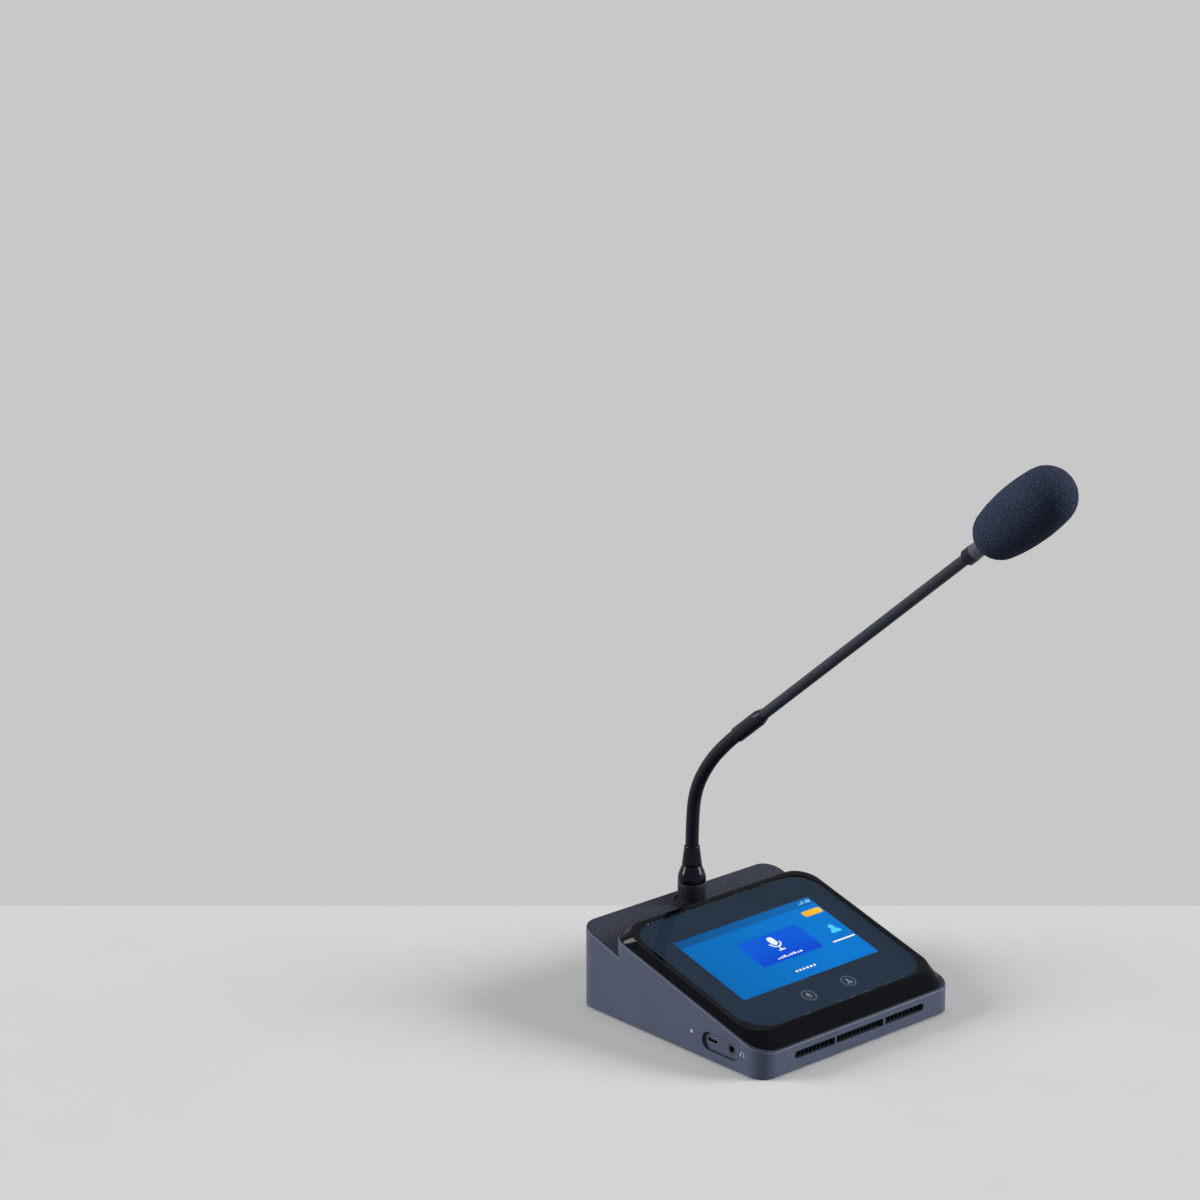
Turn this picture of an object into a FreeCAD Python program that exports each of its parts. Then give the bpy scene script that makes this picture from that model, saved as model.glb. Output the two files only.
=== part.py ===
import FreeCAD, Part
import math
import os
from types import SimpleNamespace

import Sketcher

# A desk conference microphone: a wedge base with a touch display, and a gooseneck microphone
# on the shelf behind it. The origin is the centre of the underside of the anti-slip pad, with
# the front towards -Y and the base standing on Z = 0. Lengths in millimetres, angles in degrees.
# Heights in the sheet are measured from the housing's lower edge unless their name says otherwise.

DRIVING = {
    # Housing
    "base_width": 158,
    "corner_radius": 12,
    "wall": 2.2,
    "edge_round": 1.2,
    "shelf_lap": 49.8,
    "slope_angle": 15.75,
    "lip_height": 15.2,
    "block_depth": 127.8,
    "block_back_radius": 11.5,
    "shelf_depth": 28.2,
    "shelf_angle": 17.5,
    "shelf_back_height": 50.3,
    "deck_drop": 1.5,
    "deck_thickness": 2,
    "side_lip": 1.6,
    "front_lip": 1.7,
    "back_lip": 1.8,
    "window_side_inset": 12.35,
    "window_end_inset": 9.9,
    # Underside
    "pad_thickness": 1,
    "pad_margin": 7,
    "plate_thickness": 2,
    "plate_gap": 0.3,
    "fit_gap": 0.15,
    "press_gap": 0.05,
    "drive_width": 0.8,
    "drive_margin": 1,
    "drive_depth": 0.7,
    "boss_radius": 4,
    "base_screw_side": 17,
    "base_screw_front": 12,
    "base_screw_back": 16,
    "base_screw_length": 9,
    "base_screw_radius": 1.4,
    "base_head_radius": 2.8,
    "base_head_height": 1.2,
    # Front slots and grille
    "slot_half_length": 53,
    "slot_low": 6.5,
    "slot_height": 4.5,
    "slot_rib_x": 20,
    "slot_rib_width": 1.5,
    "grille_thickness": 1,
    "grille_side_margin": 2,
    "grille_edge_margin": 1,
    "grille_pitch": 3.2,
    "grille_hole": 1.8,
    # Display module, in the sloped plane
    "module_height": 5.6,
    "bezel_round": 0.4,
    "glass_round": 0.3,
    "module_gap": 0.3,
    "module_front_radius": 13,
    "module_back_radius": 9.5,
    "module_side_inset": 2,
    "module_back_inset": 1.2,
    "module_chin": 11,
    "module_top_front_radius": 12,
    "module_top_back_radius": 15,
    "glass_side": 2.6,
    "glass_front": 1.2,
    "glass_back": 3.3,
    "glass_front_radius": 20,
    "glass_back_radius": 17,
    "glass_thickness": 1.6,
    "seal_thickness": 0.3,
    "seal_inset": 0.5,
    "bezel_shelf": 1.5,
    "window_round": 1,
    "bezel_side_wall": 3.1,
    "bezel_chin_wall": 7.5,
    "bezel_back_wall": 2.7,
    "panel_side_margin": 16.75,
    "panel_front_margin": 33.35,
    "panel_back_margin": 19.54,
    "panel_thickness": 3,
    "panel_air": 0.1,
    "bracket_thickness": 1.2,
    "bracket_margin": 1.5,
    "bracket_opening": 12,
    "bracket_leg_radius": 2.5,
    "key_board_width": 60,
    "key_board_depth": 11,
    "key_board_thickness": 1.2,
    "key_board_gap": 0.85,
    "bezel_screw_side": 11.1,
    "bezel_screw_front": 22,
    "bezel_screw_back": 14,
    "bezel_boss_radius": 3,
    "bezel_screw_radius": 1,
    "bezel_screw_length": 4.4,
    "bezel_head_radius": 2.2,
    "bezel_head_height": 1.2,
    # Boards and battery
    "board_side": 21,
    "board_setback": 31,
    "board_gap": 4,
    "board_thickness": 1.6,
    "standoff_height": 5,
    "standoff_radius": 2.5,
    "standoff_inset": 5,
    "board_screw_radius": 1.2,
    "board_head_radius": 2.2,
    "board_head_height": 1.5,
    "board_screw_length": 4,
    "can_width": 30,
    "can_depth": 24,
    "can_setback": 8,
    "can_height": 3,
    "can_sheet": 0.4,
    "chip_width": 14,
    "chip_height": 1.4,
    "connector_width": 10,
    "connector_depth": 5,
    "connector_height": 4,
    "connector_pitch": 16,
    "battery_width": 84,
    "battery_depth": 38,
    "battery_height": 8,
    "battery_side": 22,
    "battery_setback": 27,
    "antenna_width": 44,
    "antenna_height": 14,
    "antenna_thickness": 1,
    "antenna_setback": 8,
    # Loudspeaker
    "speaker_width": 44,
    "speaker_height": 9.4,
    "speaker_wall": 1.2,
    "speaker_frame_depth": 1.6,
    "speaker_frame_rim": 1.2,
    "cone_depth": 3,
    "cone_sheet": 0.4,
    "cone_floor_width": 16,
    "cone_floor_height": 2.4,
    "magnet_width": 22,
    "magnet_depth": 6,
    # Ports of the left wall
    "recess_length": 30.4,
    "recess_height": 11.3,
    "recess_depth": 2,
    "recess_setback": 34,
    "recess_z": 11.15,
    "recess_backing": 2.2,
    "usb_setback": 42.4,
    "usb_z": 11.5,
    "usb_width": 8.94,
    "usb_height": 3.26,
    "usb_sheet": 0.32,
    "usb_tongue_width": 6.7,
    "usb_tongue_thickness": 0.7,
    "usb_tongue_setback": 1,
    "jack_setback": 26.8,
    "jack_z": 11,
    "jack_bore": 3.6,
    "jack_ring_radius": 3.2,
    "jack_ring_bore": 2.3,
    "jack_ring_depth": 3,
    "jack_body_width": 8,
    "jack_body_height": 7,
    "port_depth": 7.5,
    "port_board_thickness": 1.6,
    "port_board_setback": 18,
    "port_board_length": 44,
    "port_board_top": 15.5,
    "lamp_setback": 58,
    "lamp_z": 12.8,
    "lamp_radius": 1.1,
    "lamp_chip": 0.9,
    # Microphone socket, on its own upright axis
    "neck_setback": 14,
    "cup_radius": 13,
    "cup_low": 36,
    "seat_level": 40,
    "flange_radius": 10,
    "flange_top": 47.5,
    "barrel_radius": 7.5,
    "barrel_low": 28,
    "barrel_top_radius": 6.5,
    "socket_bore": 5.4,
    "insert_height": 10,
    "nut_height": 4,
    "nut_flats": 20,
    "pin_radius": 1,
    "pin_pitch_radius": 3,
    "pin_low": 30,
    # Plug, collar and lower ferrule
    "running_gap": 0.3,
    "plug_low": 44,
    "spigot_radius": 5.1,
    "plug_flange_radius": 6.6,
    "plug_flange_height": 1.8,
    "plug_neck_radius": 5.5,
    "collar_radius": 8.5,
    "collar_top": 60,
    "collar_lip": 1.7,
    "collar_grooves": 28,
    "groove_radius": 0.4,
    "shoulder_turn": 64.3,
    "shoulder_round": 12,
    "shoulder_top": 70.5,
    "ferrule_low_radius": 6,
    "ferrule_top_radius": 4.8,
    "ferrule_top": 83,
    "wire_bore": 2.5,
    # Gooseneck: four arcs of one length, each with its own turn
    "neck_radius": 4,
    "neck_bore": 2.6,
    "section_length": 23,
    "turn_1": 4.6,
    "turn_2": 24.4,
    "turn_3": 13.7,
    "turn_4": 7.7,
    # Stem and head, measured along the stem from the gooseneck's upper end
    "sleeve_radius": 4.75,
    "sleeve_length": 29,
    "sleeve_taper": 5.5,
    "stem_radius": 3.25,
    "stem_bore": 2.45,
    "stem_end": 232,
    "stem_overlap": 10,
    "head_radius": 4.8,
    "head_start": 229,
    "head_end": 235.4,
    "ring_radius": 4.7,
    "ring_sheet": 0.8,
    "ring_length": 8.1,
    "lamp_board_thickness": 1,
    "capsule_tube_radius": 5,
    "capsule_tube_sheet": 0.5,
    "capsule_neck_radius": 3,
    "capsule_neck_length": 3,
    "capsule_tube_end": 293,
    "capsule_slot_width": 2,
    "capsule_slot_length": 22,
    "capsule_height": 5,
    "capsule_grille": 1.5,
    "capsule_hole": 0.6,
    # Foam windscreen
    "foam_low_radius": 15.4,
    "foam_low_centre": 259.1,
    "foam_top_radius": 17.9,
    "foam_top_centre": 298.2,
    "foam_bore_gap": 0.25,
}

os.makedirs("parts", exist_ok=True)
doc = FreeCAD.newDocument("conference_microphone")
sheet = doc.addObject("Spreadsheet::Sheet", "Sizes")
for row, (alias, number) in enumerate(DRIVING.items(), start=1):
    sheet.set(f"A{row}", alias)
    sheet.set(f"B{row}", str(number))
    sheet.setAlias(f"B{row}", alias)
doc.recompute()


class Size:
    """A number together with the sheet formula that gives it."""

    def __init__(self, formula, value):
        self.formula = formula
        self.value = value

    def __add__(self, other):
        other = as_size(other)
        return Size(f"({self.formula} + {other.formula})", self.value + other.value)

    def __sub__(self, other):
        other = as_size(other)
        return Size(f"({self.formula} - {other.formula})", self.value - other.value)

    def __mul__(self, other):
        other = as_size(other)
        return Size(f"({self.formula} * {other.formula})", self.value * other.value)

    def __truediv__(self, other):
        other = as_size(other)
        return Size(f"({self.formula} / {other.formula})", self.value / other.value)

    def __radd__(self, other):
        return as_size(other) + self

    def __rsub__(self, other):
        return as_size(other) - self

    def __rmul__(self, other):
        return as_size(other) * self

    def __rtruediv__(self, other):
        return as_size(other) / self

    def __neg__(self):
        return Size(f"(-1 * {self.formula})", -self.value)


def as_size(number):
    return number if isinstance(number, Size) else Size(f"({number})", float(number))


def sin(angle):
    return Size(f"sin({angle.formula})", math.sin(math.radians(angle.value)))


def cos(angle):
    return Size(f"cos({angle.formula})", math.cos(math.radians(angle.value)))


def tan(angle):
    return Size(f"tan({angle.formula})", math.tan(math.radians(angle.value)))


S = SimpleNamespace(**{alias: Size(f"Sizes.{alias}", float(sheet.get(alias))) for alias in DRIVING})


def bind(thing, prop, size):
    """Ties one property of an object to the sheet."""
    thing.setExpression(prop, as_size(size).formula)


def turn(x, y, z, angle):
    """Formula of a rotation about an axis through the origin."""
    return f"rotation(vector({x}; {y}; {z}); {as_size(angle).formula})"


def spot(x=0, y=0, z=0, rotation="rotation(vector(0; 0; 1); 0)"):
    """Formula of a placement at a point tied to the sheet."""
    point = "; ".join(as_size(c).formula for c in (x, y, z))
    return f"placement(vector({point}); {rotation})"


def round_edges(body, radius, wanted):
    """Rounds the edges whose middle points a test picks out."""
    doc.recompute()
    base = body.Tip
    names = []
    for number, line in enumerate(base.Shape.Edges, start=1):
        if wanted(line.valueAt((line.FirstParameter + line.LastParameter) / 2)):
            names.append(f"Edge{number}")
    made = body.newObject("PartDesign::Fillet", body.Name + "_rounds")
    made.Base = (base, names)
    bind(made, "Radius", radius)


def place(thing, *spots):
    """Puts an object at a placement, or at one placement within another."""
    thing.setExpression("Placement", " * ".join(s for s in spots if s))
    return thing


# Outlines in sketches


def sketch(body, role, height=None):
    """An empty sketch on one of the body's origin planes, or parallel to it at a height."""
    plane = next(f for f in body.Origin.OriginFeatures if f.Role == role)
    made = body.newObject("Sketcher::SketchObject", body.Name + "_sketch")
    made.AttachmentSupport = [(plane, "")]
    made.MapMode = "FlatFace"
    if height is not None:
        bind(made, "AttachmentOffset.Base.z", height)
    return made


def measure(made, kind, size, *where):
    """A dimension of a sketch, named and tied to the sheet."""
    index = made.addConstraint(Sketcher.Constraint(kind, *where, as_size(size).value))
    made.renameConstraint(index, f"size_{index}_a")
    bind(made, f"Constraints.size_{index}_a", size)


def pin(made, geometry, vertex, x, y):
    """Fixes a point of a sketch at a place tied to the sheet."""
    measure(made, "DistanceX", x, -1, 1, geometry, vertex)
    measure(made, "DistanceY", y, -1, 1, geometry, vertex)


def circle(made, x, y, radius):
    x, y, radius = as_size(x), as_size(y), as_size(radius)
    centre = FreeCAD.Vector(x.value, y.value, 0)
    ring = made.addGeometry(Part.Circle(centre, FreeCAD.Vector(0, 0, 1), radius.value), False)
    measure(made, "Radius", radius, ring)
    pin(made, ring, 3, x, y)


def polygon(made, corners):
    """A closed outline through (x, y) or (x, y, rounding) corners, in counterclockwise order."""
    corners = [[as_size(value) for value in (*corner, 0)[:3]] for corner in corners]
    points = [FreeCAD.Vector(x.value, y.value, 0) for x, y, _ in corners]
    count = len(points)
    arrive, leave, bends = [], [], []
    for i, (x, y, rounding) in enumerate(corners):
        behind = (points[i - 1] - points[i]).normalize()
        ahead = (points[(i + 1) % count] - points[i]).normalize()
        half = behind.getAngle(ahead) / 2
        reach = rounding.value / math.tan(half)
        arrive.append(points[i] + behind * reach)
        leave.append(points[i] + ahead * reach)
        bends.append(None)
        if rounding.value > 0:
            centre = points[i] + (behind + ahead).normalize() * (rounding.value / math.sin(half))
            left_turn = ahead.cross(behind).z > 0
            ends = (arrive[i], leave[i]) if left_turn else (leave[i], arrive[i])
            first, last = (math.atan2(end.y - centre.y, end.x - centre.x) for end in ends)
            round_end = Part.Circle(centre, FreeCAD.Vector(0, 0, 1), rounding.value)
            bends[i] = (Part.ArcOfCircle(round_end, first, last), left_turn)
    sides = [
        made.addGeometry(Part.LineSegment(leave[i], arrive[(i + 1) % count]), False)
        for i in range(count)
    ]
    for i, (x, y, rounding) in enumerate(corners):
        before, after = sides[i - 1], sides[i]
        if bends[i] is None:
            made.addConstraint(Sketcher.Constraint("Coincident", before, 2, after, 1))
            pin(made, after, 1, x, y)
            continue
        arc, left_turn = bends[i]
        bend = made.addGeometry(arc, False)
        first, last = (1, 2) if left_turn else (2, 1)
        made.addConstraint(Sketcher.Constraint("Tangent", before, 2, bend, first))
        made.addConstraint(Sketcher.Constraint("Tangent", bend, last, after, 1))
        measure(made, "Radius", rounding, bend)
        corner = made.addGeometry(Part.Point(points[i]), True)
        pin(made, corner, 1, x, y)
        made.addConstraint(Sketcher.Constraint("PointOnObject", corner, 1, before))
        made.addConstraint(Sketcher.Constraint("PointOnObject", corner, 1, after))


def oblong(made, length, height):
    """A closed outline with two straight sides and two half-round ends, its length along X."""
    radius = height / 2
    reach = length / 2 - radius
    upward = FreeCAD.Vector(0, 0, 1)
    quarter = math.pi / 2
    ends = []
    for side in (1, -1):
        round_end = Part.Circle(FreeCAD.Vector(side * reach.value, 0, 0), upward, radius.value)
        first = quarter if side < 0 else -quarter
        ends.append(made.addGeometry(Part.ArcOfCircle(round_end, first, first + math.pi), False))
    right, left = ends
    corner = FreeCAD.Vector(reach.value, radius.value, 0)
    across = FreeCAD.Vector(-reach.value, radius.value, 0)
    top = made.addGeometry(Part.LineSegment(corner, across), False)
    bottom = made.addGeometry(Part.LineSegment(-corner, -across), False)
    for first, last in ((right, top), (top, left), (left, bottom), (bottom, right)):
        made.addConstraint(Sketcher.Constraint("Tangent", first, 2, last, 1))
    for end, side in ((right, 1), (left, -1)):
        pin(made, end, 3, side * reach, 0)
        measure(made, "Radius", radius, end)


def rectangle(left, right, low, high, low_round=0, high_round=None):
    """Corners of a rectangle, rounded alike or with two roundings, one for each end."""
    high_round = low_round if high_round is None else high_round
    return [
        (left, low, low_round),
        (right, low, low_round),
        (right, high, high_round),
        (left, high, high_round),
    ]


# Features and solids


def new_body(name):
    return doc.addObject("PartDesign::Body", name)


def feature(body, kind, outline, length=None, **settings):
    made = body.newObject(kind, body.Name + "_feature")
    made.Profile = outline
    if length is not None:
        bind(made, "Length", length)
    for prop, value in settings.items():
        setattr(made, prop, value)
    return made


def slab(name, corners, low, high, frame=None):
    """A flat piece: an outline in the XY plane, from one height to another."""
    body = new_body(name)
    outline = sketch(body, "XY_Plane", low)
    polygon(outline, corners)
    feature(body, "PartDesign::Pad", outline, as_size(high) - low)
    if frame:
        place(body, frame)
    return body


def disc(name, x, y, radius, low, high, frame=None):
    """A cylinder from one height to another."""
    made = doc.addObject("Part::Cylinder", name)
    bind(made, "Radius", radius)
    bind(made, "Height", as_size(high) - low)
    return place(made, frame, spot(x, y, low))


def block(name, x, y, z, frame=None):
    """A box from its three (low, high) pairs."""
    made = doc.addObject("Part::Box", name)
    for prop, (low, high) in zip(("Length", "Width", "Height"), (x, y, z)):
        bind(made, prop, as_size(high) - low)
    return place(made, frame, spot(x[0], y[0], z[0]))


def cross_drive(name, x, y, head_radius, low, high, frame=None):
    """The crossed grooves of a screw head, from one height to another."""
    reach = head_radius - S.drive_margin
    half = S.drive_width / 2
    along = block(f"{name}_along", (x - reach, x + reach), (y - half, y + half), (low, high), frame)
    across = block(f"{name}_across", (x - half, x + half), (y - reach, y + reach), (low, high), frame)
    return [along, across]


def turned(name, corners, frame):
    """A round piece: an outline of (radius, height) corners turned about the frame's Z axis."""
    body = new_body(name)
    outline = sketch(body, "XZ_Plane")
    polygon(outline, corners)
    made = feature(body, "PartDesign::Revolution", outline)
    made.ReferenceAxis = (outline, ["V_Axis"])
    made.Angle = full_turn
    return place(body, frame)


def cut(name, base, tools):
    made = doc.addObject("Part::Cut", name)
    made.Base = base
    made.Tool = tools[0] if len(tools) == 1 else join(name + "_tools", tools)
    return made


def join(name, pieces):
    made = doc.addObject("Part::MultiFuse", name)
    made.Shapes = pieces
    return made


def group(name, pieces):
    """Separate solids that share one node."""
    made = doc.addObject("Part::Compound", name)
    made.Links = pieces
    return made


nodes = []


def node(thing, label=None):
    """Marks an object as a finished piece of the product."""
    thing.Label = label or thing.Name
    nodes.append(thing)
    return thing


# Shared places

half_width = S.base_width / 2
base_depth = S.block_depth + S.shelf_depth
front = -base_depth / 2
back = base_depth / 2
edge = S.pad_thickness
floor_level = edge + S.plate_thickness
block_back = front + S.block_depth
neck_y = back - S.neck_setback
blank_height = S.shelf_back_height * 2
beyond = base_depth
full_turn = 360
deck_top = -S.deck_drop
deck_low = deck_top - S.deck_thickness
module_side = half_width - S.side_lip - S.module_gap
module_low = S.front_lip + S.module_gap
module_high = S.block_depth / cos(S.slope_angle) - S.back_lip - S.module_gap
panel_side = module_side - S.panel_side_margin
panel_front = module_low + S.panel_front_margin
panel_back = module_high - S.panel_back_margin
key_board_back = panel_front - S.key_board_gap
key_board_front = key_board_back - S.key_board_depth
# Frames: on the sloped top, on the front wall and on the left wall, with Z pointing outwards
slope_frame = spot(0, front, edge + S.lip_height, turn(1, 0, 0, S.slope_angle))


def front_frame(y, z):
    return spot(0, y, z, turn(1, 0, 0, 90))


def left_frame(y, z):
    return spot(-half_width, y, z, turn(0, 0, 1, -90) + " * " + turn(1, 0, 0, 90))


def slope_level(y, h=0):
    """Height of the plane that is parallel to the sloped top, h above it, at a given y."""
    return edge + S.lip_height + (y - front) * tan(S.slope_angle) + h / cos(S.slope_angle)


def shelf_level(y, h=0):
    """Height of the rear shelf's plane, or of a parallel one h above it."""
    return edge + S.shelf_back_height - (back - y) * tan(S.shelf_angle) + h / cos(S.shelf_angle)


# Housing


def housing_form(name, inset, low, slope_drop, shelf_drop, rounded=False):
    """The outside of the housing, or the same form drawn in by an inset and lowered."""
    body = new_body(name)
    sides = (-half_width + inset, half_width - inset)
    corner = S.corner_radius - inset
    shelf_front = block_back - S.shelf_lap
    rear_part = sketch(body, "XY_Plane", low)
    polygon(rear_part, rectangle(*sides, shelf_front, back - inset, 0, corner))
    feature(body, "PartDesign::Pad", rear_part, blank_height)
    above_shelf = sketch(body, "YZ_Plane")
    polygon(above_shelf, [
        (front - beyond, shelf_level(front - beyond, -shelf_drop)),
        (back + beyond, shelf_level(back + beyond, -shelf_drop)),
        (back + beyond, blank_height + beyond),
        (front - beyond, blank_height + beyond),
    ])
    feature(body, "PartDesign::Pocket", above_shelf, S.base_width * 2, Midplane=True)
    if rounded:
        round_edges(body, S.edge_round, lambda middle: (
            middle.y > shelf_front.value + S.wall.value
            and abs(middle.z - shelf_level(as_size(middle.y)).value) < S.press_gap.value
        ))
    display_block = sketch(body, "XY_Plane", low)
    outline = rectangle(*sides, front + inset, block_back - inset, corner, S.block_back_radius - inset)
    polygon(display_block, outline)
    feature(body, "PartDesign::Pad", display_block, blank_height)
    above_slope = sketch(body, "YZ_Plane")
    polygon(above_slope, [
        (front - beyond, slope_level(front - beyond, -slope_drop)),
        (back + beyond, slope_level(back + beyond, -slope_drop)),
        (back + beyond, blank_height + beyond * 2),
        (front - beyond, blank_height + beyond * 2),
    ])
    feature(body, "PartDesign::Pocket", above_slope, S.base_width * 2, Midplane=True)
    if rounded:
        round_edges(body, S.edge_round, lambda middle: (
            middle.z > slope_level(as_size(middle.y)).value - S.press_gap.value
        ))
    return body


def module_form(name, gap):
    """The display module's outside, or the same form grown by a gap all round."""
    body = new_body(name)
    side = module_side + gap
    low = module_low - gap
    high = module_high + gap
    foot = rectangle(-side, side, low, high, S.module_front_radius + gap, S.module_back_radius + gap)
    top_side = side - S.module_side_inset
    top = rectangle(
        -top_side,
        top_side,
        low + S.module_chin,
        high - S.module_back_inset,
        S.module_top_front_radius + gap,
        S.module_top_back_radius + gap,
    )
    foot_outline = sketch(body, "XY_Plane", deck_top)
    polygon(foot_outline, foot)
    feature(body, "PartDesign::Pad", foot_outline, S.deck_drop)
    low_outline = sketch(body, "XY_Plane")
    polygon(low_outline, foot)
    top_outline = sketch(body, "XY_Plane", S.module_height)
    polygon(top_outline, top)
    loft = feature(body, "PartDesign::AdditiveLoft", low_outline)
    loft.Sections = [top_outline]
    loft.Ruled = True
    return place(body, slope_frame)


def stadium(name, length, height, low, high, frame):
    """A bar with fully round ends, its length along X."""
    body = new_body(name)
    outline = sketch(body, "XY_Plane", low)
    oblong(outline, length, height)
    feature(body, "PartDesign::Pad", outline, as_size(high) - low)
    return place(body, frame)


def four_places(x, low, high):
    return [(side * x, y) for side in (-1, 1) for y in (low, high)]


base_screws_at = four_places(
    half_width - S.base_screw_side,
    front + S.base_screw_front,
    back - S.base_screw_back,
)
bezel_screws_at = four_places(
    module_side - S.bezel_screw_side,
    S.bezel_screw_front,
    module_high - S.bezel_screw_back,
)
seat_level = edge + S.seat_level
through = as_size(1)


def upper_housing():
    outside = housing_form("housing_outside", 0, edge, 0, 0, rounded=True)
    drop = S.deck_drop + S.deck_thickness
    inside = housing_form("housing_inside", S.wall, edge - through, drop, S.wall)
    kept = [
        disc(f"boss_{i}", x, y, S.boss_radius, floor_level, blank_height)
        for i, (x, y) in enumerate(base_screws_at)
    ]
    recess_frame = left_frame(front + S.recess_setback, edge + S.recess_z)
    recess_end = -S.recess_depth - S.recess_backing
    backing_length = S.recess_length + S.recess_backing * 2
    backing_height = S.recess_height + S.recess_backing * 2
    kept.append(stadium("recess_backing", backing_length, backing_height, recess_end, 0, recess_frame))
    kept.append(disc("socket_cup", 0, neck_y, S.cup_radius, edge + S.cup_low, blank_height))
    cavity = cut("housing_cavity", inside, kept)

    tools = [cavity, module_form("module_recess", S.module_gap)]
    window = rectangle(
        -panel_side + S.window_side_inset,
        panel_side - S.window_side_inset,
        panel_front + S.window_end_inset,
        panel_back - S.window_end_inset,
        S.bracket_leg_radius,
    )
    tools.append(slab("deck_window", window, deck_low - through, deck_top + through, slope_frame))
    for i, (u, v) in enumerate(bezel_screws_at):
        hole = S.bezel_screw_radius + S.fit_gap
        tools.append(disc(f"deck_hole_{i}", u, v, hole, deck_low - through, deck_top + through, slope_frame))
    for i, (x, y) in enumerate(base_screws_at):
        hole = S.base_screw_radius + S.fit_gap
        tools.append(disc(f"boss_hole_{i}", x, y, hole, edge, floor_level + S.base_screw_length + through))
    tools.append(front_slots())
    tools.append(stadium("recess", S.recess_length, S.recess_height, -S.recess_depth, through, recess_frame))
    usb_frame = left_frame(front + S.usb_setback, edge + S.usb_z)
    usb_size = (S.usb_width + S.fit_gap * 2, S.usb_height + S.fit_gap * 2)
    tools.append(stadium("usb_hole", *usb_size, recess_end - through, 0, usb_frame))
    jack_frame = left_frame(front + S.jack_setback, edge + S.jack_z)
    ring_room = S.jack_ring_radius + S.fit_gap
    tools.append(disc("jack_hole", 0, 0, ring_room, recess_end - through, 0, jack_frame))
    lamp_frame = left_frame(front + S.lamp_setback, edge + S.lamp_z)
    tools.append(disc("lamp_hole", 0, 0, S.lamp_radius + S.fit_gap, -S.wall - through, through, lamp_frame))
    tools.append(disc("flange_hole", 0, neck_y, S.flange_radius + S.running_gap, seat_level, blank_height))
    bore = S.barrel_radius + S.running_gap
    tools.append(disc("barrel_hole", 0, neck_y, bore, edge + S.cup_low - through, blank_height))
    node(cut("upper_housing", outside, tools))


def front_slots():
    """Three slots in a row: one long slot with two ribs left standing in it."""
    frame = front_frame(front, edge + S.slot_low + S.slot_height / 2)
    low = -S.wall - through
    row = stadium("slot_row", S.slot_half_length * 2, S.slot_height, low, through, frame)
    half_rib = S.slot_rib_width / 2
    ribs = [
        block(
            f"slot_rib_{i}",
            (side * S.slot_rib_x - half_rib, side * S.slot_rib_x + half_rib),
            (-S.slot_height, S.slot_height),
            (low - through, through * 2),
            frame,
        )
        for i, side in enumerate((-1, 1))
    ]
    return cut("slots", row, ribs)


def front_grille():
    """Dark insert on the inner face of the front wall, with a row of upright slits."""
    width = S.slot_half_length + S.grille_side_margin
    height = S.slot_height / 2 + S.grille_edge_margin
    body = new_body("front_grille")
    outline = sketch(body, "XY_Plane", -S.wall - S.grille_thickness)
    polygon(outline, rectangle(-width, width, -height, height, S.grille_edge_margin))
    feature(body, "PartDesign::Pad", outline, S.grille_thickness)
    count = math.floor(2 * S.slot_half_length.value / S.grille_pitch.value)
    first = -S.grille_pitch * (count - 1) / 2
    slit = sketch(body, "XY_Plane", -S.wall)
    half_slit = S.grille_hole / 2
    slit_height = S.slot_height / 2
    polygon(slit, rectangle(first - half_slit, first + half_slit, -slit_height, slit_height))
    pocket = feature(body, "PartDesign::Pocket", slit, S.grille_thickness * 2)
    pattern = body.newObject("PartDesign::LinearPattern", "grille_slits")
    pattern.Originals = [pocket]
    pattern.Direction = (slit, ["H_Axis"])
    bind(pattern, "Length", S.grille_pitch * (count - 1))
    pattern.Occurrences = count
    body.Tip = pattern
    place(body, front_frame(front, edge + S.slot_low + S.slot_height / 2))
    node(body)


# Underside


def bottom_plate():
    inset = S.wall + S.plate_gap
    outline = rectangle(
        -half_width + inset,
        half_width - inset,
        front + inset,
        back - inset,
        S.corner_radius - inset,
    )
    plate = slab("plate_blank", outline, edge, floor_level)
    head_level = edge + S.base_head_height
    holes, screws = [], []
    for i, (x, y) in enumerate(base_screws_at):
        hole = S.base_screw_radius + S.fit_gap
        sink = S.base_head_radius + S.fit_gap
        holes.append(disc(f"plate_hole_{i}", x, y, hole, edge, floor_level + through))
        holes.append(disc(f"plate_sink_{i}", x, y, sink, 0, head_level))
        head = disc(f"base_head_{i}", x, y, S.base_head_radius, edge, head_level)
        tip = floor_level + S.base_screw_length
        shank = disc(f"base_shank_{i}", x, y, S.base_screw_radius, head_level, tip)
        screw = join(f"base_screw_blank_{i}", [head, shank])
        drive = cross_drive(f"base_drive_{i}", x, y, S.base_head_radius, 0, edge + S.drive_depth)
        screws.append(cut(f"base_screw_{i}", screw, drive))
    node(cut("bottom_plate", plate, holes))
    node(group("base_screws", screws))


def anti_slip_pad():
    inset = S.wall + S.plate_gap + S.pad_margin
    outline = rectangle(
        -half_width + inset,
        half_width - inset,
        front + inset,
        back - inset,
        S.corner_radius - S.wall,
    )
    sheet_blank = slab("pad_blank", outline, 0, edge)
    holes = [
        disc(f"pad_hole_{i}", x, y, S.base_head_radius + S.pad_thickness, -through, edge + through)
        for i, (x, y) in enumerate(base_screws_at)
    ]
    node(cut("anti_slip_pad", sheet_blank, holes))


# Display module, built on the sloped top

seal_level = S.module_height - S.glass_thickness - S.seal_thickness
glass_low = S.module_height - S.glass_thickness
panel_top = glass_low - S.panel_air
panel_low = panel_top - S.panel_thickness


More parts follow.
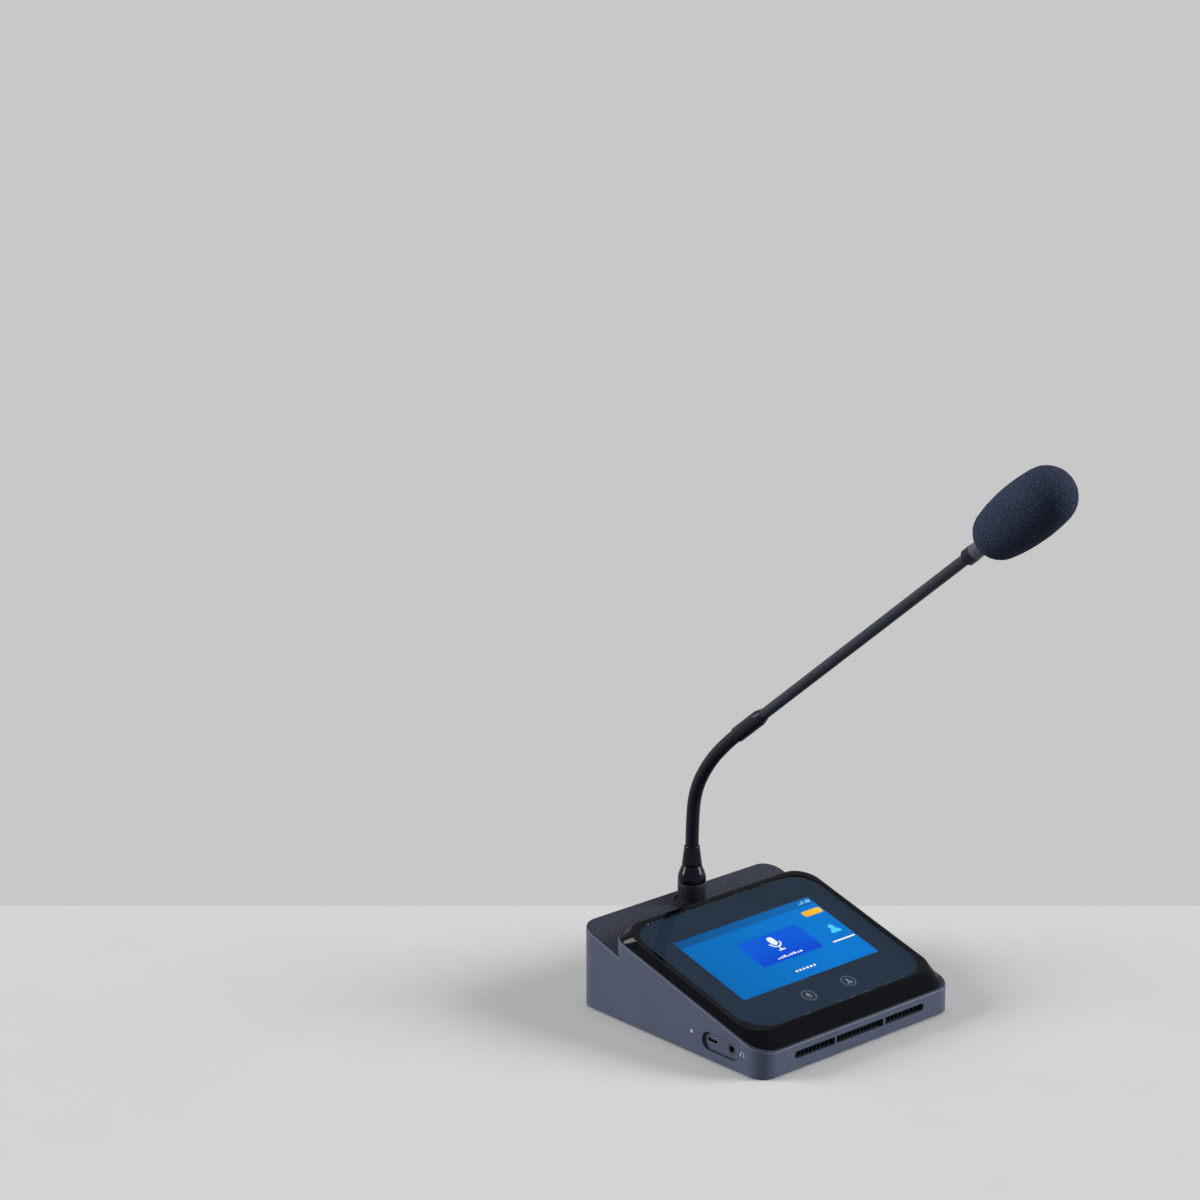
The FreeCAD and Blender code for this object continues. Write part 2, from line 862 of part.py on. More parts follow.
def glass_outline(grow):
    side = module_side - S.module_side_inset - S.glass_side + grow
    return rectangle(
        -side,
        side,
        module_low + S.module_chin + S.glass_front - grow,
        module_high - S.module_back_inset - S.glass_back + grow,
        S.glass_front_radius + grow,
        S.glass_back_radius + grow,
    )


def display_window():
    side = panel_side + S.module_gap
    front_edge = key_board_front - S.bracket_margin
    return rectangle(-side, side, front_edge, panel_back + S.module_gap, S.window_round)


def display_bezel():
    outside = module_form("bezel_outside", 0)
    round_edges(outside, S.bezel_round, lambda middle: middle.z > S.module_height.value - S.press_gap.value)
    inner_side = module_side - S.bezel_side_wall
    hollow_outline = rectangle(
        -inner_side,
        inner_side,
        module_low + S.bezel_chin_wall,
        module_high - S.bezel_back_wall,
        S.module_front_radius - S.bezel_side_wall,
    )
    hollow_top = seal_level - S.bezel_shelf
    hollow = slab("bezel_hollow", hollow_outline, deck_top - through, hollow_top, slope_frame)
    bosses = [
        disc(f"bezel_boss_{i}", u, v, S.bezel_boss_radius, deck_top, hollow_top + through, slope_frame)
        for i, (u, v) in enumerate(bezel_screws_at)
    ]
    tools = [cut("bezel_cavity", hollow, bosses)]
    seat = glass_outline(S.fit_gap)
    tools.append(slab("glass_seat", seat, seal_level, S.module_height + through, slope_frame))
    window_span = (hollow_top - through, seal_level + through)
    tools.append(slab("bezel_window", display_window(), *window_span, slope_frame))
    tip = deck_low + S.bezel_screw_length
    screws = []
    for i, (u, v) in enumerate(bezel_screws_at):
        hole = S.bezel_screw_radius + S.fit_gap
        tools.append(disc(f"bezel_hole_{i}", u, v, hole, deck_top - through, tip + S.fit_gap, slope_frame))
        head_low = deck_low - S.bezel_head_height
        head = disc(f"bezel_head_{i}", u, v, S.bezel_head_radius, head_low, deck_low, slope_frame)
        shank = disc(f"bezel_shank_{i}", u, v, S.bezel_screw_radius, deck_low, tip, slope_frame)
        screw = join(f"bezel_screw_blank_{i}", [head, shank])
        groove = (head_low - through, head_low + S.drive_depth)
        drive = cross_drive(f"bezel_drive_{i}", u, v, S.bezel_head_radius, *groove, slope_frame)
        screws.append(cut(f"bezel_screw_{i}", screw, drive))
    node(cut("display_bezel", outside, tools))
    node(group("bezel_screws", screws))


def glass_and_seal():
    glass = slab("touch_glass", glass_outline(0), glass_low, S.module_height, slope_frame)
    round_edges(glass, S.glass_round, lambda middle: middle.z > S.module_height.value - S.press_gap.value)
    node(glass)
    ring = slab("seal_blank", glass_outline(-S.seal_inset), seal_level, glass_low, slope_frame)
    hole = slab("seal_window", display_window(), seal_level - through, glass_low + through, slope_frame)
    node(cut("display_seal", ring, [hole]))


def display_panel():
    across = (-panel_side, panel_side)
    node(block("lcd_panel", across, (panel_front, panel_back), (panel_low, panel_top), slope_frame))
    low = panel_low - S.bracket_thickness
    side = panel_side + S.bracket_margin
    outline = rectangle(
        -side,
        side,
        panel_front - S.bracket_margin,
        panel_back + S.bracket_margin,
        S.bracket_leg_radius,
    )
    opening = rectangle(
        -side + S.bracket_opening,
        side - S.bracket_opening,
        panel_front + S.bracket_opening,
        panel_back - S.bracket_opening,
        S.bracket_leg_radius,
    )
    frame_blank = slab("bracket_blank", outline, low, panel_low, slope_frame)
    hole = slab("bracket_opening", opening, low - through, panel_low + through, slope_frame)
    inset = S.bracket_opening / 2
    legs = [
        disc(f"bracket_leg_{i}", u, v, S.bracket_leg_radius, deck_top, low, slope_frame)
        for i, (u, v) in enumerate(four_places(side - inset, panel_front + inset, panel_back - inset))
    ]
    node(join("lcd_bracket", [cut("bracket_frame", frame_blank, [hole]), *legs]))
    node(block(
        "touch_key_board",
        (-S.key_board_width / 2, S.key_board_width / 2),
        (key_board_front, key_board_back),
        (glass_low - S.key_board_thickness, glass_low),
        slope_frame,
    ))


# Boards and battery

battery_front = front + S.battery_setback
battery_back = battery_front + S.battery_depth
board_half = half_width - S.board_side
board_front = battery_back + S.board_gap
board_back = back - S.board_setback
board_low = floor_level + S.standoff_height
board_top = board_low + S.board_thickness


def main_board():
    inset = S.standoff_inset
    outline = rectangle(-board_half, board_half, board_front, board_back, inset / 2)
    plate = slab("board_blank", outline, board_low, board_top)
    holes, posts, screws = [], [], []
    corners = four_places(board_half - inset, board_front + inset, board_back - inset)
    for i, (x, y) in enumerate(corners):
        bore = S.board_screw_radius + S.fit_gap
        tip = board_top - S.board_screw_length
        holes.append(disc(f"board_hole_{i}", x, y, bore, board_low - through, board_top + through))
        post = disc(f"post_{i}", x, y, S.standoff_radius, floor_level, board_low)
        thread = disc(f"post_bore_{i}", x, y, bore, tip - S.fit_gap, board_low + through)
        posts.append(cut(f"standoff_{i}", post, [thread]))
        head_top = board_top + S.board_head_height
        head = disc(f"board_head_{i}", x, y, S.board_head_radius, board_top, head_top)
        shank = disc(f"board_shank_{i}", x, y, S.board_screw_radius, tip, board_top)
        screw = join(f"board_screw_blank_{i}", [head, shank])
        groove = (head_top - S.drive_depth, head_top + through)
        drive = cross_drive(f"board_drive_{i}", x, y, S.board_head_radius, *groove)
        screws.append(cut(f"board_screw_{i}", screw, drive))
    node(cut("main_board", plate, holes))
    node(group("board_standoffs", posts))
    node(group("board_screws", screws))


def board_parts():
    """Shield can, processor and plug connectors that stand on the main board."""
    gap = S.connector_depth
    can_top = board_top + S.can_height
    xs = (-gap - S.can_width, -gap)
    ys = (board_front + S.can_setback, board_front + S.can_setback + S.can_depth)
    lid = block("can_blank", xs, ys, (board_top, can_top))
    wall = S.can_sheet
    hollow_x = (xs[0] + wall, xs[1] - wall)
    hollow_y = (ys[0] + wall, ys[1] - wall)
    hollow = block("can_hollow", hollow_x, hollow_y, (board_top - through, can_top - wall))
    node(cut("shield_can", lid, [hollow]))
    chip_x = (gap, gap + S.chip_width)
    chip_y = (ys[0], ys[0] + S.chip_width)
    node(block("processor_chip", chip_x, chip_y, (board_top, board_top + S.chip_height)))
    back_row = board_back - S.standoff_inset
    sockets = [
        block(
            f"connector_{i}",
            (S.connector_pitch * i - S.connector_width / 2, S.connector_pitch * i + S.connector_width / 2),
            (back_row - S.connector_depth, back_row),
            (board_top, board_top + S.connector_height),
        )
        for i in (-1, 0, 1)
    ]
    node(group("board_connectors", sockets))


def battery_and_antenna():
    right = half_width - S.battery_side
    left = right - S.battery_width
    outline = rectangle(left, right, battery_front, battery_back, S.battery_height / 2)
    node(slab("battery_pack", outline, floor_level, floor_level + S.battery_height))
    antenna_back = back - S.antenna_setback
    node(block(
        "antenna_board",
        (-S.antenna_width / 2, S.antenna_width / 2),
        (antenna_back - S.antenna_thickness, antenna_back),
        (floor_level, floor_level + S.antenna_height),
    ))


# Loudspeaker behind the front grille


def speaker():
    frame = front_frame(front + S.wall + S.grille_thickness, floor_level + S.speaker_height / 2)
    half_x = S.speaker_width / 2
    half_z = S.speaker_height / 2
    wall = S.speaker_wall
    frame_low = -S.speaker_frame_depth
    cone_low = frame_low - S.cone_depth
    magnet_low = cone_low - S.magnet_depth
    case = block("speaker_case", (-half_x, half_x), (-half_z, half_z), (magnet_low - wall, 0), frame)
    room_x = half_x - wall
    room_z = half_z - wall
    room = block("speaker_room", (-room_x, room_x), (-room_z, room_z), (magnet_low, through), frame)
    node(cut("speaker_box", case, [room]))

    rim = S.speaker_frame_rim
    side = room_x - S.fit_gap
    top = room_z - S.fit_gap
    plate = slab("speaker_plate", rectangle(-side, side, -top, top, rim / 2), frame_low, 0, frame)
    mouth_length = (side - rim) * 2
    mouth_height = (top - rim) * 2
    mouth = stadium("speaker_mouth", mouth_length, mouth_height, frame_low - through, through, frame)
    node(cut("speaker_frame", plate, [mouth]))

    edge_x = side - rim / 2
    edge_z = top - rim / 2
    floor_x = S.cone_floor_width / 2
    floor_z = S.cone_floor_height / 2
    dishes = []
    for name, lift in (("cone_outside", as_size(0)), ("cone_inside", S.cone_sheet)):
        body = new_body(name)
        low_outline = sketch(body, "XY_Plane", cone_low + lift)
        polygon(low_outline, rectangle(-floor_x, floor_x, -floor_z, floor_z, floor_z - S.fit_gap))
        top_outline = sketch(body, "XY_Plane", frame_low + lift)
        polygon(top_outline, rectangle(-edge_x, edge_x, -edge_z, edge_z, edge_z - S.fit_gap))
        loft = feature(body, "PartDesign::AdditiveLoft", low_outline)
        loft.Sections = [top_outline]
        loft.Ruled = True
        dishes.append(place(body, frame))
    node(cut("speaker_cone", dishes[0], [dishes[1]]))
    magnet_x = S.magnet_width / 2
    magnet_z = top - rim / 2
    magnet_span = (magnet_low, cone_low)
    node(block("speaker_magnet", (-magnet_x, magnet_x), (-magnet_z, magnet_z), magnet_span, frame))


# Ports of the left wall

port_low = -S.recess_depth - S.port_depth


def usb_port():
    frame = left_frame(front + S.usb_setback, edge + S.usb_z)
    shell = stadium("usb_outside", S.usb_width, S.usb_height, port_low, -S.recess_depth, frame)
    wall = S.usb_sheet
    bore_size = (S.usb_width - wall * 2, S.usb_height - wall * 2)
    bore = stadium("usb_bore", *bore_size, port_low + wall, 0, frame)
    node(cut("usb_c_shell", shell, [bore]))
    half_width_of_tongue = S.usb_tongue_width / 2
    half_tongue = S.usb_tongue_thickness / 2
    node(block(
        "usb_c_tongue",
        (-half_width_of_tongue, half_width_of_tongue),
        (-half_tongue, half_tongue),
        (port_low + wall, -S.recess_depth - S.usb_tongue_setback),
        frame,
    ))


def headphone_jack():
    frame = left_frame(front + S.jack_setback, edge + S.jack_z)
    ring_low = -S.recess_depth - S.jack_ring_depth
    ring = disc("ring_blank", 0, 0, S.jack_ring_radius, ring_low, -S.recess_depth, frame)
    ring_hole = disc("ring_hole", 0, 0, S.jack_ring_bore, ring_low - through, 0, frame)
    node(cut("jack_ring", ring, [ring_hole]))
    half_x = S.jack_body_width / 2
    half_z = S.jack_body_height / 2
    housing = block("jack_case", (-half_x, half_x), (-half_z, half_z), (port_low, ring_low), frame)
    nose = disc("jack_nose", 0, 0, S.jack_ring_bore - S.fit_gap, ring_low, -S.recess_depth, frame)
    bore = disc("jack_bore", 0, 0, S.jack_bore / 2, port_low + S.usb_sheet, 0, frame)
    node(cut("headphone_jack", join("jack_solid", [housing, nose]), [bore]))


def port_board_and_lamp():
    board_x = -half_width - port_low
    board_y = front + S.port_board_setback
    node(block(
        "port_board",
        (board_x, board_x + S.port_board_thickness),
        (board_y, board_y + S.port_board_length),
        (floor_level, edge + S.port_board_top),
    ))
    frame = left_frame(front + S.lamp_setback, edge + S.lamp_z)
    half = S.lamp_chip
    chip_top = port_low + S.lamp_chip
    node(block("lamp_chip", (-half, half), (-half / 2, half / 2), (port_low, chip_top), frame))
    node(disc("lamp_light_pipe", 0, 0, S.lamp_radius, chip_top, 0, frame))


# Microphone socket, plug and locking collar, on one upright axis

neck_frame = spot(0, neck_y, edge)
plug_flange_top = S.collar_top - S.collar_lip - S.running_gap
plug_flange_low = plug_flange_top - S.plug_flange_height
barrel_top = plug_flange_low


def three_places():
    pitch = S.pin_pitch_radius
    return [(pitch * cos(as_size(angle)), pitch * sin(as_size(angle))) for angle in (90, 210, 330)]


def mic_socket():
    node(turned("mic_socket", [
        (S.socket_bore, S.barrel_low),
        (S.barrel_radius, S.barrel_low),
        (S.barrel_radius, S.seat_level),
        (S.flange_radius, S.seat_level),
        (S.flange_radius, S.flange_top, S.running_gap),
        (S.barrel_top_radius, S.flange_top),
        (S.barrel_top_radius, barrel_top),
        (S.socket_bore, barrel_top),
    ], neck_frame))
    insert_top = S.barrel_low + S.insert_height
    core = disc("insert_blank", 0, 0, S.socket_bore - S.fit_gap, S.barrel_low, insert_top, neck_frame)
    holes = [
        disc(f"insert_hole_{i}", x, y, S.pin_radius + S.fit_gap, S.barrel_low, insert_top, neck_frame)
        for i, (x, y) in enumerate(three_places())
    ]
    node(cut("socket_insert", core, holes))
    nut_low = S.cup_low - S.nut_height
    sixth = as_size(full_turn) / 6
    corner = S.nut_flats / 2 / cos(sixth / 2)
    hexagon = [(corner * cos(sixth * i), corner * sin(sixth * i)) for i in range(6)]
    blank = slab("nut_blank", hexagon, nut_low, S.cup_low, neck_frame)
    bore = S.barrel_radius + S.fit_gap
    thread = disc("nut_thread", 0, 0, bore, nut_low - through, S.cup_low + through, neck_frame)
    node(cut("socket_nut", blank, [thread]))


def mic_plug():
    shoulder_low = S.collar_top + S.running_gap
    bore_floor = S.plug_low + S.plug_flange_height * 2
    node(turned("mic_plug", [
        (0, S.plug_low),
        (S.spigot_radius, S.plug_low),
        (S.spigot_radius, plug_flange_low),
        (S.plug_flange_radius, plug_flange_low),
        (S.plug_flange_radius, plug_flange_top),
        (S.plug_neck_radius, plug_flange_top),
        (S.plug_neck_radius, shoulder_low),
        (S.collar_radius, shoulder_low, S.running_gap),
        (S.collar_radius, S.shoulder_turn, S.shoulder_round),
        (S.ferrule_low_radius, S.shoulder_top),
        (S.wire_bore, S.shoulder_top),
        (S.wire_bore, bore_floor),
        (0, bore_floor),
    ], neck_frame))
    pins = [
        disc(f"pin_{i}", x, y, S.pin_radius, S.pin_low, S.plug_low, neck_frame)
        for i, (x, y) in enumerate(three_places())
    ]
    node(group("plug_pins", pins))


def locking_collar():
    low = S.flange_top + S.running_gap
    inner = S.plug_flange_radius + S.running_gap
    lip_bore = S.plug_neck_radius + S.running_gap
    lip_low = S.collar_top - S.collar_lip
    body = turned("locking_collar", [
        (inner, low),
        (S.collar_radius, low, S.groove_radius),
        (S.collar_radius, S.collar_top, S.groove_radius),
        (lip_bore, S.collar_top),
        (lip_bore, lip_low),
        (inner, lip_low),
    ], neck_frame)
    groove = sketch(body, "XY_Plane", low + S.collar_lip)
    circle(groove, S.collar_radius, 0, S.groove_radius)
    length = S.collar_top - low - S.collar_lip * 2
    pocket = feature(body, "PartDesign::Pocket", groove, length, Reversed=True)
    pattern = body.newObject("PartDesign::PolarPattern", "collar_grip")
    pattern.Originals = [pocket]
    pattern.Axis = (groove, ["N_Axis"])
    pattern.Angle = full_turn
    bind(pattern, "Occurrences", S.collar_grooves)
    body.Tip = pattern
    node(body)


def lower_ferrule():
    taper_low = S.shoulder_top + S.collar_lip
    taper_high = S.ferrule_top - S.collar_lip
    node(turned("lower_ferrule", [
        (S.neck_bore, S.shoulder_top),
        (S.ferrule_low_radius, S.shoulder_top),
        (S.ferrule_low_radius, taper_low, S.collar_lip),
        (S.ferrule_top_radius, taper_high, S.collar_lip),
        (S.ferrule_top_radius, S.ferrule_top, S.ferrule_top_radius - S.neck_radius),
        (S.neck_bore, S.ferrule_top),
    ], neck_frame))


# Gooseneck: each section is a tube bent along one arc, and starts where the last one ends


def gooseneck():
    here = spot(0, neck_y, edge + S.ferrule_top, turn(0, 0, 1, 90))
    for number, bend in enumerate((S.turn_1, S.turn_2, S.turn_3, S.turn_4), start=1):
        body = new_body(f"gooseneck_{number}")
        radius = S.section_length * 180 / math.pi / bend
        outline = sketch(body, "XY_Plane")
        circle(outline, 0, 0, S.neck_radius)
        circle(outline, 0, 0, S.neck_bore)
        start = FreeCAD.Vector(-radius.value, 1, 0)
        end = FreeCAD.Vector(-radius.value, -1, 0)
        axis = outline.addGeometry(Part.LineSegment(start, end), True)
        pin(outline, axis, 1, -radius, 1)
        pin(outline, axis, 2, -radius, -1)
        tube = feature(body, "PartDesign::Revolution", outline)
        tube.ReferenceAxis = (outline, ["Axis0"])
        bind(tube, "Angle", bend)
        place(body, here)
        node(body)
        rise = radius * sin(bend)
        lean = -radius * (1 - cos(bend))
        here = f"{body.Name}.Placement * " + spot(lean, 0, rise, turn(0, 1, 0, -bend))
    return here


# Stem and head, along the straight line that the gooseneck ends in


def stem(start):
    sleeve_seat = S.sleeve_length - S.stem_overlap
    stem_hole = S.stem_radius + S.press_gap
    node(turned("neck_sleeve", [
        (S.neck_bore, 0),
        (S.sleeve_radius, 0, S.ring_sheet),
        (S.sleeve_radius, S.sleeve_length - S.sleeve_taper, S.ring_sheet),
        (stem_hole + S.fit_gap, S.sleeve_length),
        (stem_hole, S.sleeve_length),
        (stem_hole, sleeve_seat),
        (S.neck_bore, sleeve_seat),
    ], start))
    frame = "neck_sleeve.Placement"
    node(turned("stem_tube", [
        (S.stem_bore, sleeve_seat),
        (S.stem_radius, sleeve_seat),
        (S.stem_radius, S.stem_end),
        (S.stem_bore, S.stem_end),
    ], frame))
    capsule_hole = S.capsule_neck_radius + S.press_gap
    node(turned("head_ferrule", [
        (stem_hole, S.head_start),
        (S.head_radius, S.head_start, S.fit_gap),
        (S.head_radius, S.head_end, S.fit_gap),
        (capsule_hole, S.head_end),
        (capsule_hole, S.stem_end),
        (stem_hole, S.stem_end),
    ], frame))
    ring_end = S.head_end + S.ring_length
    ring_bore = S.ring_radius - S.ring_sheet
    node(turned("light_ring", [
        (ring_bore, S.head_end),
        (S.ring_radius, S.head_end, S.fit_gap),
        (S.ring_radius, ring_end, S.fit_gap),
        (ring_bore, ring_end),
    ], frame))
    node(turned("ring_lamp_board", [
        (capsule_hole, S.head_end),
        (ring_bore - S.press_gap, S.head_end),
        (ring_bore - S.press_gap, S.head_end + S.lamp_board_thickness),
        (capsule_hole, S.head_end + S.lamp_board_thickness),
    ], frame))
    return frame, ring_end


def capsule(frame, ring_end):
    bore = S.capsule_tube_radius - S.capsule_tube_sheet
    neck_bore = S.capsule_neck_radius - S.ring_sheet
    tube = turned("capsule_tube_blank", [
        (neck_bore, S.head_end - S.capsule_neck_length),
        (S.capsule_neck_radius, S.head_end - S.capsule_neck_length),
        (S.capsule_neck_radius, ring_end),
        (S.capsule_tube_radius, ring_end),
        (S.capsule_tube_radius, S.capsule_tube_end),
        (bore, S.capsule_tube_end),
        (bore, ring_end + S.ring_sheet),
        (neck_bore, ring_end + S.ring_sheet),
    ], frame)
    capsule_low = S.capsule_tube_end - S.capsule_height
    slot_high = capsule_low - S.capsule_slot_width
    across = (-S.foam_low_radius, S.foam_low_radius)
    along = (-S.capsule_slot_width / 2, S.capsule_slot_width / 2)
    span = (slot_high - S.capsule_slot_length, slot_high)
    slots = [
        block("capsule_slot_x", across, along, span, frame),
        block("capsule_slot_y", along, across, span, frame),
    ]
    node(cut("capsule_tube", tube, slots))
    capsule_radius = bore - S.press_gap
    node(disc("mic_capsule", 0, 0, capsule_radius, capsule_low, S.capsule_tube_end, frame))
    top = S.capsule_tube_end + S.capsule_grille
    cap = disc("grille_blank", 0, 0, S.capsule_tube_radius, S.capsule_tube_end, top, frame)
    holes = [disc("grille_hole_0", 0, 0, S.capsule_hole, S.capsule_tube_end, top + through, frame)]
    sixth = as_size(full_turn) / 6
    for i in range(1, 7):
        x = bore / 2 * cos(sixth * i)
        y = bore / 2 * sin(sixth * i)
        low = S.capsule_tube_end
        holes.append(disc(f"grille_hole_{i}", x, y, S.capsule_hole, low, top + through, frame))
    node(cut("capsule_grille", cap, holes))
    return top


def ball(name, radius, level, frame):
    made = doc.addObject("Part::Sphere", name)
    bind(made, "Radius", radius)
    return place(made, frame, spot(0, 0, level))


def windscreen(frame, capsule_top):
    """Foam: two balls of different size with the cone between them that meets both smoothly."""
    reach = S.foam_top_centre - S.foam_low_centre
    growth = S.foam_top_radius - S.foam_low_radius
    slant = growth / reach
    flare = Size(f"sqrt(1 - {slant.formula} ^ 2)", math.sqrt(1 - slant.value ** 2))
    cone = doc.addObject("Part::Cone", "foam_cone")
    bind(cone, "Radius1", S.foam_low_radius * flare)
    bind(cone, "Radius2", S.foam_top_radius * flare)
    bind(cone, "Height", reach - growth * slant)
    place(cone, frame, spot(0, 0, S.foam_low_centre - S.foam_low_radius * slant))
    low_ball = ball("foam_low_ball", S.foam_low_radius, S.foam_low_centre, frame)
    top_ball = ball("foam_top_ball", S.foam_top_radius, S.foam_top_centre, frame)
    whole = join("foam_solid", [low_ball, cone, top_ball])
    bore_low = S.foam_low_centre - S.foam_low_radius * 2
    bore_radius = S.capsule_tube_radius + S.foam_bore_gap
    bore = disc("foam_bore", 0, 0, bore_radius, bore_low, capsule_top + S.running_gap, frame)
    node(cut("foam_windscreen", whole, [bore]))


upper_housing()
front_grille()
bottom_plate()
anti_slip_pad()
display_bezel()
glass_and_seal()
display_panel()
main_board()
board_parts()
battery_and_antenna()
speaker()
usb_port()
headphone_jack()
port_board_and_lamp()
mic_socket()
mic_plug()
locking_collar()
lower_ferrule()
head_frame, light_end = stem(gooseneck())
windscreen(head_frame, capsule(head_frame, light_end))

doc.recompute()
failed = [thing.Name for thing in doc.Objects if {"Invalid", "Error"} & set(thing.State)]
if failed:
    raise RuntimeError("failed: " + ", ".join(failed))
for piece in nodes:
    shape = piece.Shape
    if shape.isNull() or not shape.isValid() or shape.Volume <= 0:
        raise RuntimeError("bad shape: " + piece.Label)
for piece in nodes:
    piece.Shape.exportStep(f"parts/{piece.Label}.step")
print("nodes", len(nodes))
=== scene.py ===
import math

import bpy
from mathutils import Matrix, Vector, noise


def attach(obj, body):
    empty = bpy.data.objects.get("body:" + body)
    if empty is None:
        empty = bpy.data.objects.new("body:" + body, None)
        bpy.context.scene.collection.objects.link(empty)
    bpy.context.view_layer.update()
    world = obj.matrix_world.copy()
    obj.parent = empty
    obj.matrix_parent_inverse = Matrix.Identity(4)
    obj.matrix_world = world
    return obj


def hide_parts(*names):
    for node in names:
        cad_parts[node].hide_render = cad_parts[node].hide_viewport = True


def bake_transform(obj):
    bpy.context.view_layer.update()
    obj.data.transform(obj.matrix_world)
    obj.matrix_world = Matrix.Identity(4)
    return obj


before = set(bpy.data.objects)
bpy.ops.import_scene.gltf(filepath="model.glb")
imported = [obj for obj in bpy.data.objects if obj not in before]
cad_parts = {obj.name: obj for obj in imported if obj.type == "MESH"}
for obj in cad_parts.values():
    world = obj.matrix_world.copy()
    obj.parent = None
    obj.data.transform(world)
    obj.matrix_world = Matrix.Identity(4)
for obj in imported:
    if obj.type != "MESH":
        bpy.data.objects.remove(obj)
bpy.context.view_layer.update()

# A desk conference microphone: grey wedge base, tilted touch display, gooseneck microphone.
# The pieces are in millimetres until mesh_piece turns them into metres. The camera and the
# lamps are placed in metres.

MM = 0.001

# Sloped top of the base: u across, v up the slope, h out of it
SLOPE_TILT = math.radians(15.75)
SLOPE_ORIGIN = Vector((0, -78, 16.2))
GLASS_BACK = 4.0
# Heights of the picture's three layers and of the print: in the glass, close to its back
GROUND_LEVEL = GLASS_BACK + 0.01
MIDDLE_LEVEL = GLASS_BACK + 0.02
FRONT_LEVEL = GLASS_BACK + 0.03
PRINT_LEVEL = GLASS_BACK + 0.05
# How far printed signs stand off the face they are printed on
INK = 0.03
PICTURE_WIDTH = 110.4
PICTURE_LOW, PICTURE_HIGH = 42.2, 104.3

# Gooseneck: four arcs of equal length, one after the other
NECK_START_Y, NECK_START_Z = 64, 84
NECK_RADIUS, NECK_BORE = 4.0, 2.6
SECTION_LENGTH = 23
SECTION_TURNS = (4.6, 24.4, 13.7, 7.7)

# Foam windscreen, measured along the stem from the gooseneck's end
# as balls that follow one another: (centre, radius)
FOAM_BALLS = ((258.9, 15.2), (287.0, 17.8), (299.3, 16.9))
FOAM_BORE_RADIUS, FOAM_BORE_END = 5.25, 294.8
# Its skin lies a little inside the balls and has dents: (dents to a millimetre, depth)
FOAM_SKIN = 0.2
FOAM_DENTS = ((0.35, 0.18), (1.1, 0.08))

# Straight pieces of an arc in the printed signs
ARC_STEPS = 24

# Noise textures lie mostly between these values
NOISE_LOW, NOISE_HIGH = 0.3, 0.7

# The way the camera looks, from the y axis towards x
VIEW_AZIMUTH = math.radians(41.95)


# Materials


def linear(colour, strength=1.0):
    """An sRGB hex colour as linear RGBA, lighter or darker by a factor."""
    channels = []
    for start in (1, 3, 5):
        c = int(colour[start:start + 2], 16) / 255
        c = c / 12.92 if c <= 0.04045 else ((c + 0.055) / 1.055) ** 2.4
        channels.append(min(c * strength, 1.0))
    return (*channels, 1.0)


def add(tree, kind, inputs=None, **settings):
    """Adds a node: settings are its own properties, inputs are values or other nodes' outputs."""
    made = tree.nodes.new(kind)
    for name, value in settings.items():
        setattr(made, name, value)
    for socket, value in (inputs or {}).items():
        if isinstance(value, bpy.types.NodeSocket):
            tree.links.new(value, made.inputs[socket])
        else:
            made.inputs[socket].default_value = value
    return made


def ramp(tree, factor, low, high, start=0.0, end=1.0):
    """A colour that runs from low to high while the factor runs from start to end."""
    made = add(tree, "ShaderNodeValToRGB", {"Fac": factor})
    first, last = made.color_ramp.elements
    first.position, first.color = start, low
    last.position, last.color = end, high
    return made.outputs[0]


def mixed_colour(tree, factor, first, second):
    """The first colour where the factor is 0, the second one where it is 1."""
    made = add(tree, "ShaderNodeMix", {0: factor, 6: first, 7: second}, data_type="RGBA")
    return made.outputs[2]


def clouds(tree, place, scale, detail):
    """A noise texture with so many clouds to a millimetre."""
    made = add(tree, "ShaderNodeTexNoise", {"Vector": place, "Scale": scale, "Detail": detail})
    return made.outputs[0]


def finish_named(name):
    """An empty material with its output, its surface shader and coordinates in millimetres."""
    made = bpy.data.materials.new(name)
    made.use_nodes = True
    tree = made.node_tree
    tree.nodes.clear()
    shader = add(tree, "ShaderNodeBsdfPrincipled")
    add(tree, "ShaderNodeOutputMaterial", {"Surface": shader.outputs[0]})
    place = add(tree, "ShaderNodeTexCoord")
    scaled = add(tree, "ShaderNodeVectorMath", {
        0: place.outputs["Object"], 1: (1 / MM, 1 / MM, 1 / MM)}, operation="MULTIPLY")
    return made, tree, shader, scaled.outputs[0]


def grained(name, colour, roughness, grain, depth, shade=0.12,
            metallic=0.0, coat=0.0, specular=0.5):
    """A surface with an even grain: its size and depth are in millimetres, shade is how far
    the colour strays."""
    made, tree, shader, place = finish_named(name)
    speckle = clouds(tree, place, 1 / grain, 3.0)
    patches = clouds(tree, place, 1 / (grain * 30), 2.0)
    both = add(tree, "ShaderNodeMix", {"Factor": 0.4, "A": speckle, "B": patches}).outputs[0]
    colours = ramp(tree, both, linear(colour, 1 - shade), linear(colour, 1 + shade),
                   NOISE_LOW, NOISE_HIGH)
    gloss = add(tree, "ShaderNodeMapRange", {
        "Value": both, "From Min": NOISE_LOW, "From Max": NOISE_HIGH,
        "To Min": max(roughness - 0.06, 0.02), "To Max": min(roughness + 0.06, 1.0)})
    bump = add(tree, "ShaderNodeBump", {"Height": speckle, "Distance": depth * MM, "Strength": 1.0})
    tree.links.new(colours, shader.inputs["Base Color"])
    tree.links.new(gloss.outputs[0], shader.inputs["Roughness"])
    tree.links.new(bump.outputs[0], shader.inputs["Normal"])
    shader.inputs["Metallic"].default_value = metallic
    shader.inputs["Coat Weight"].default_value = coat
    shader.inputs["Coat Roughness"].default_value = 0.08
    shader.inputs["Specular IOR Level"].default_value = specular
    return made


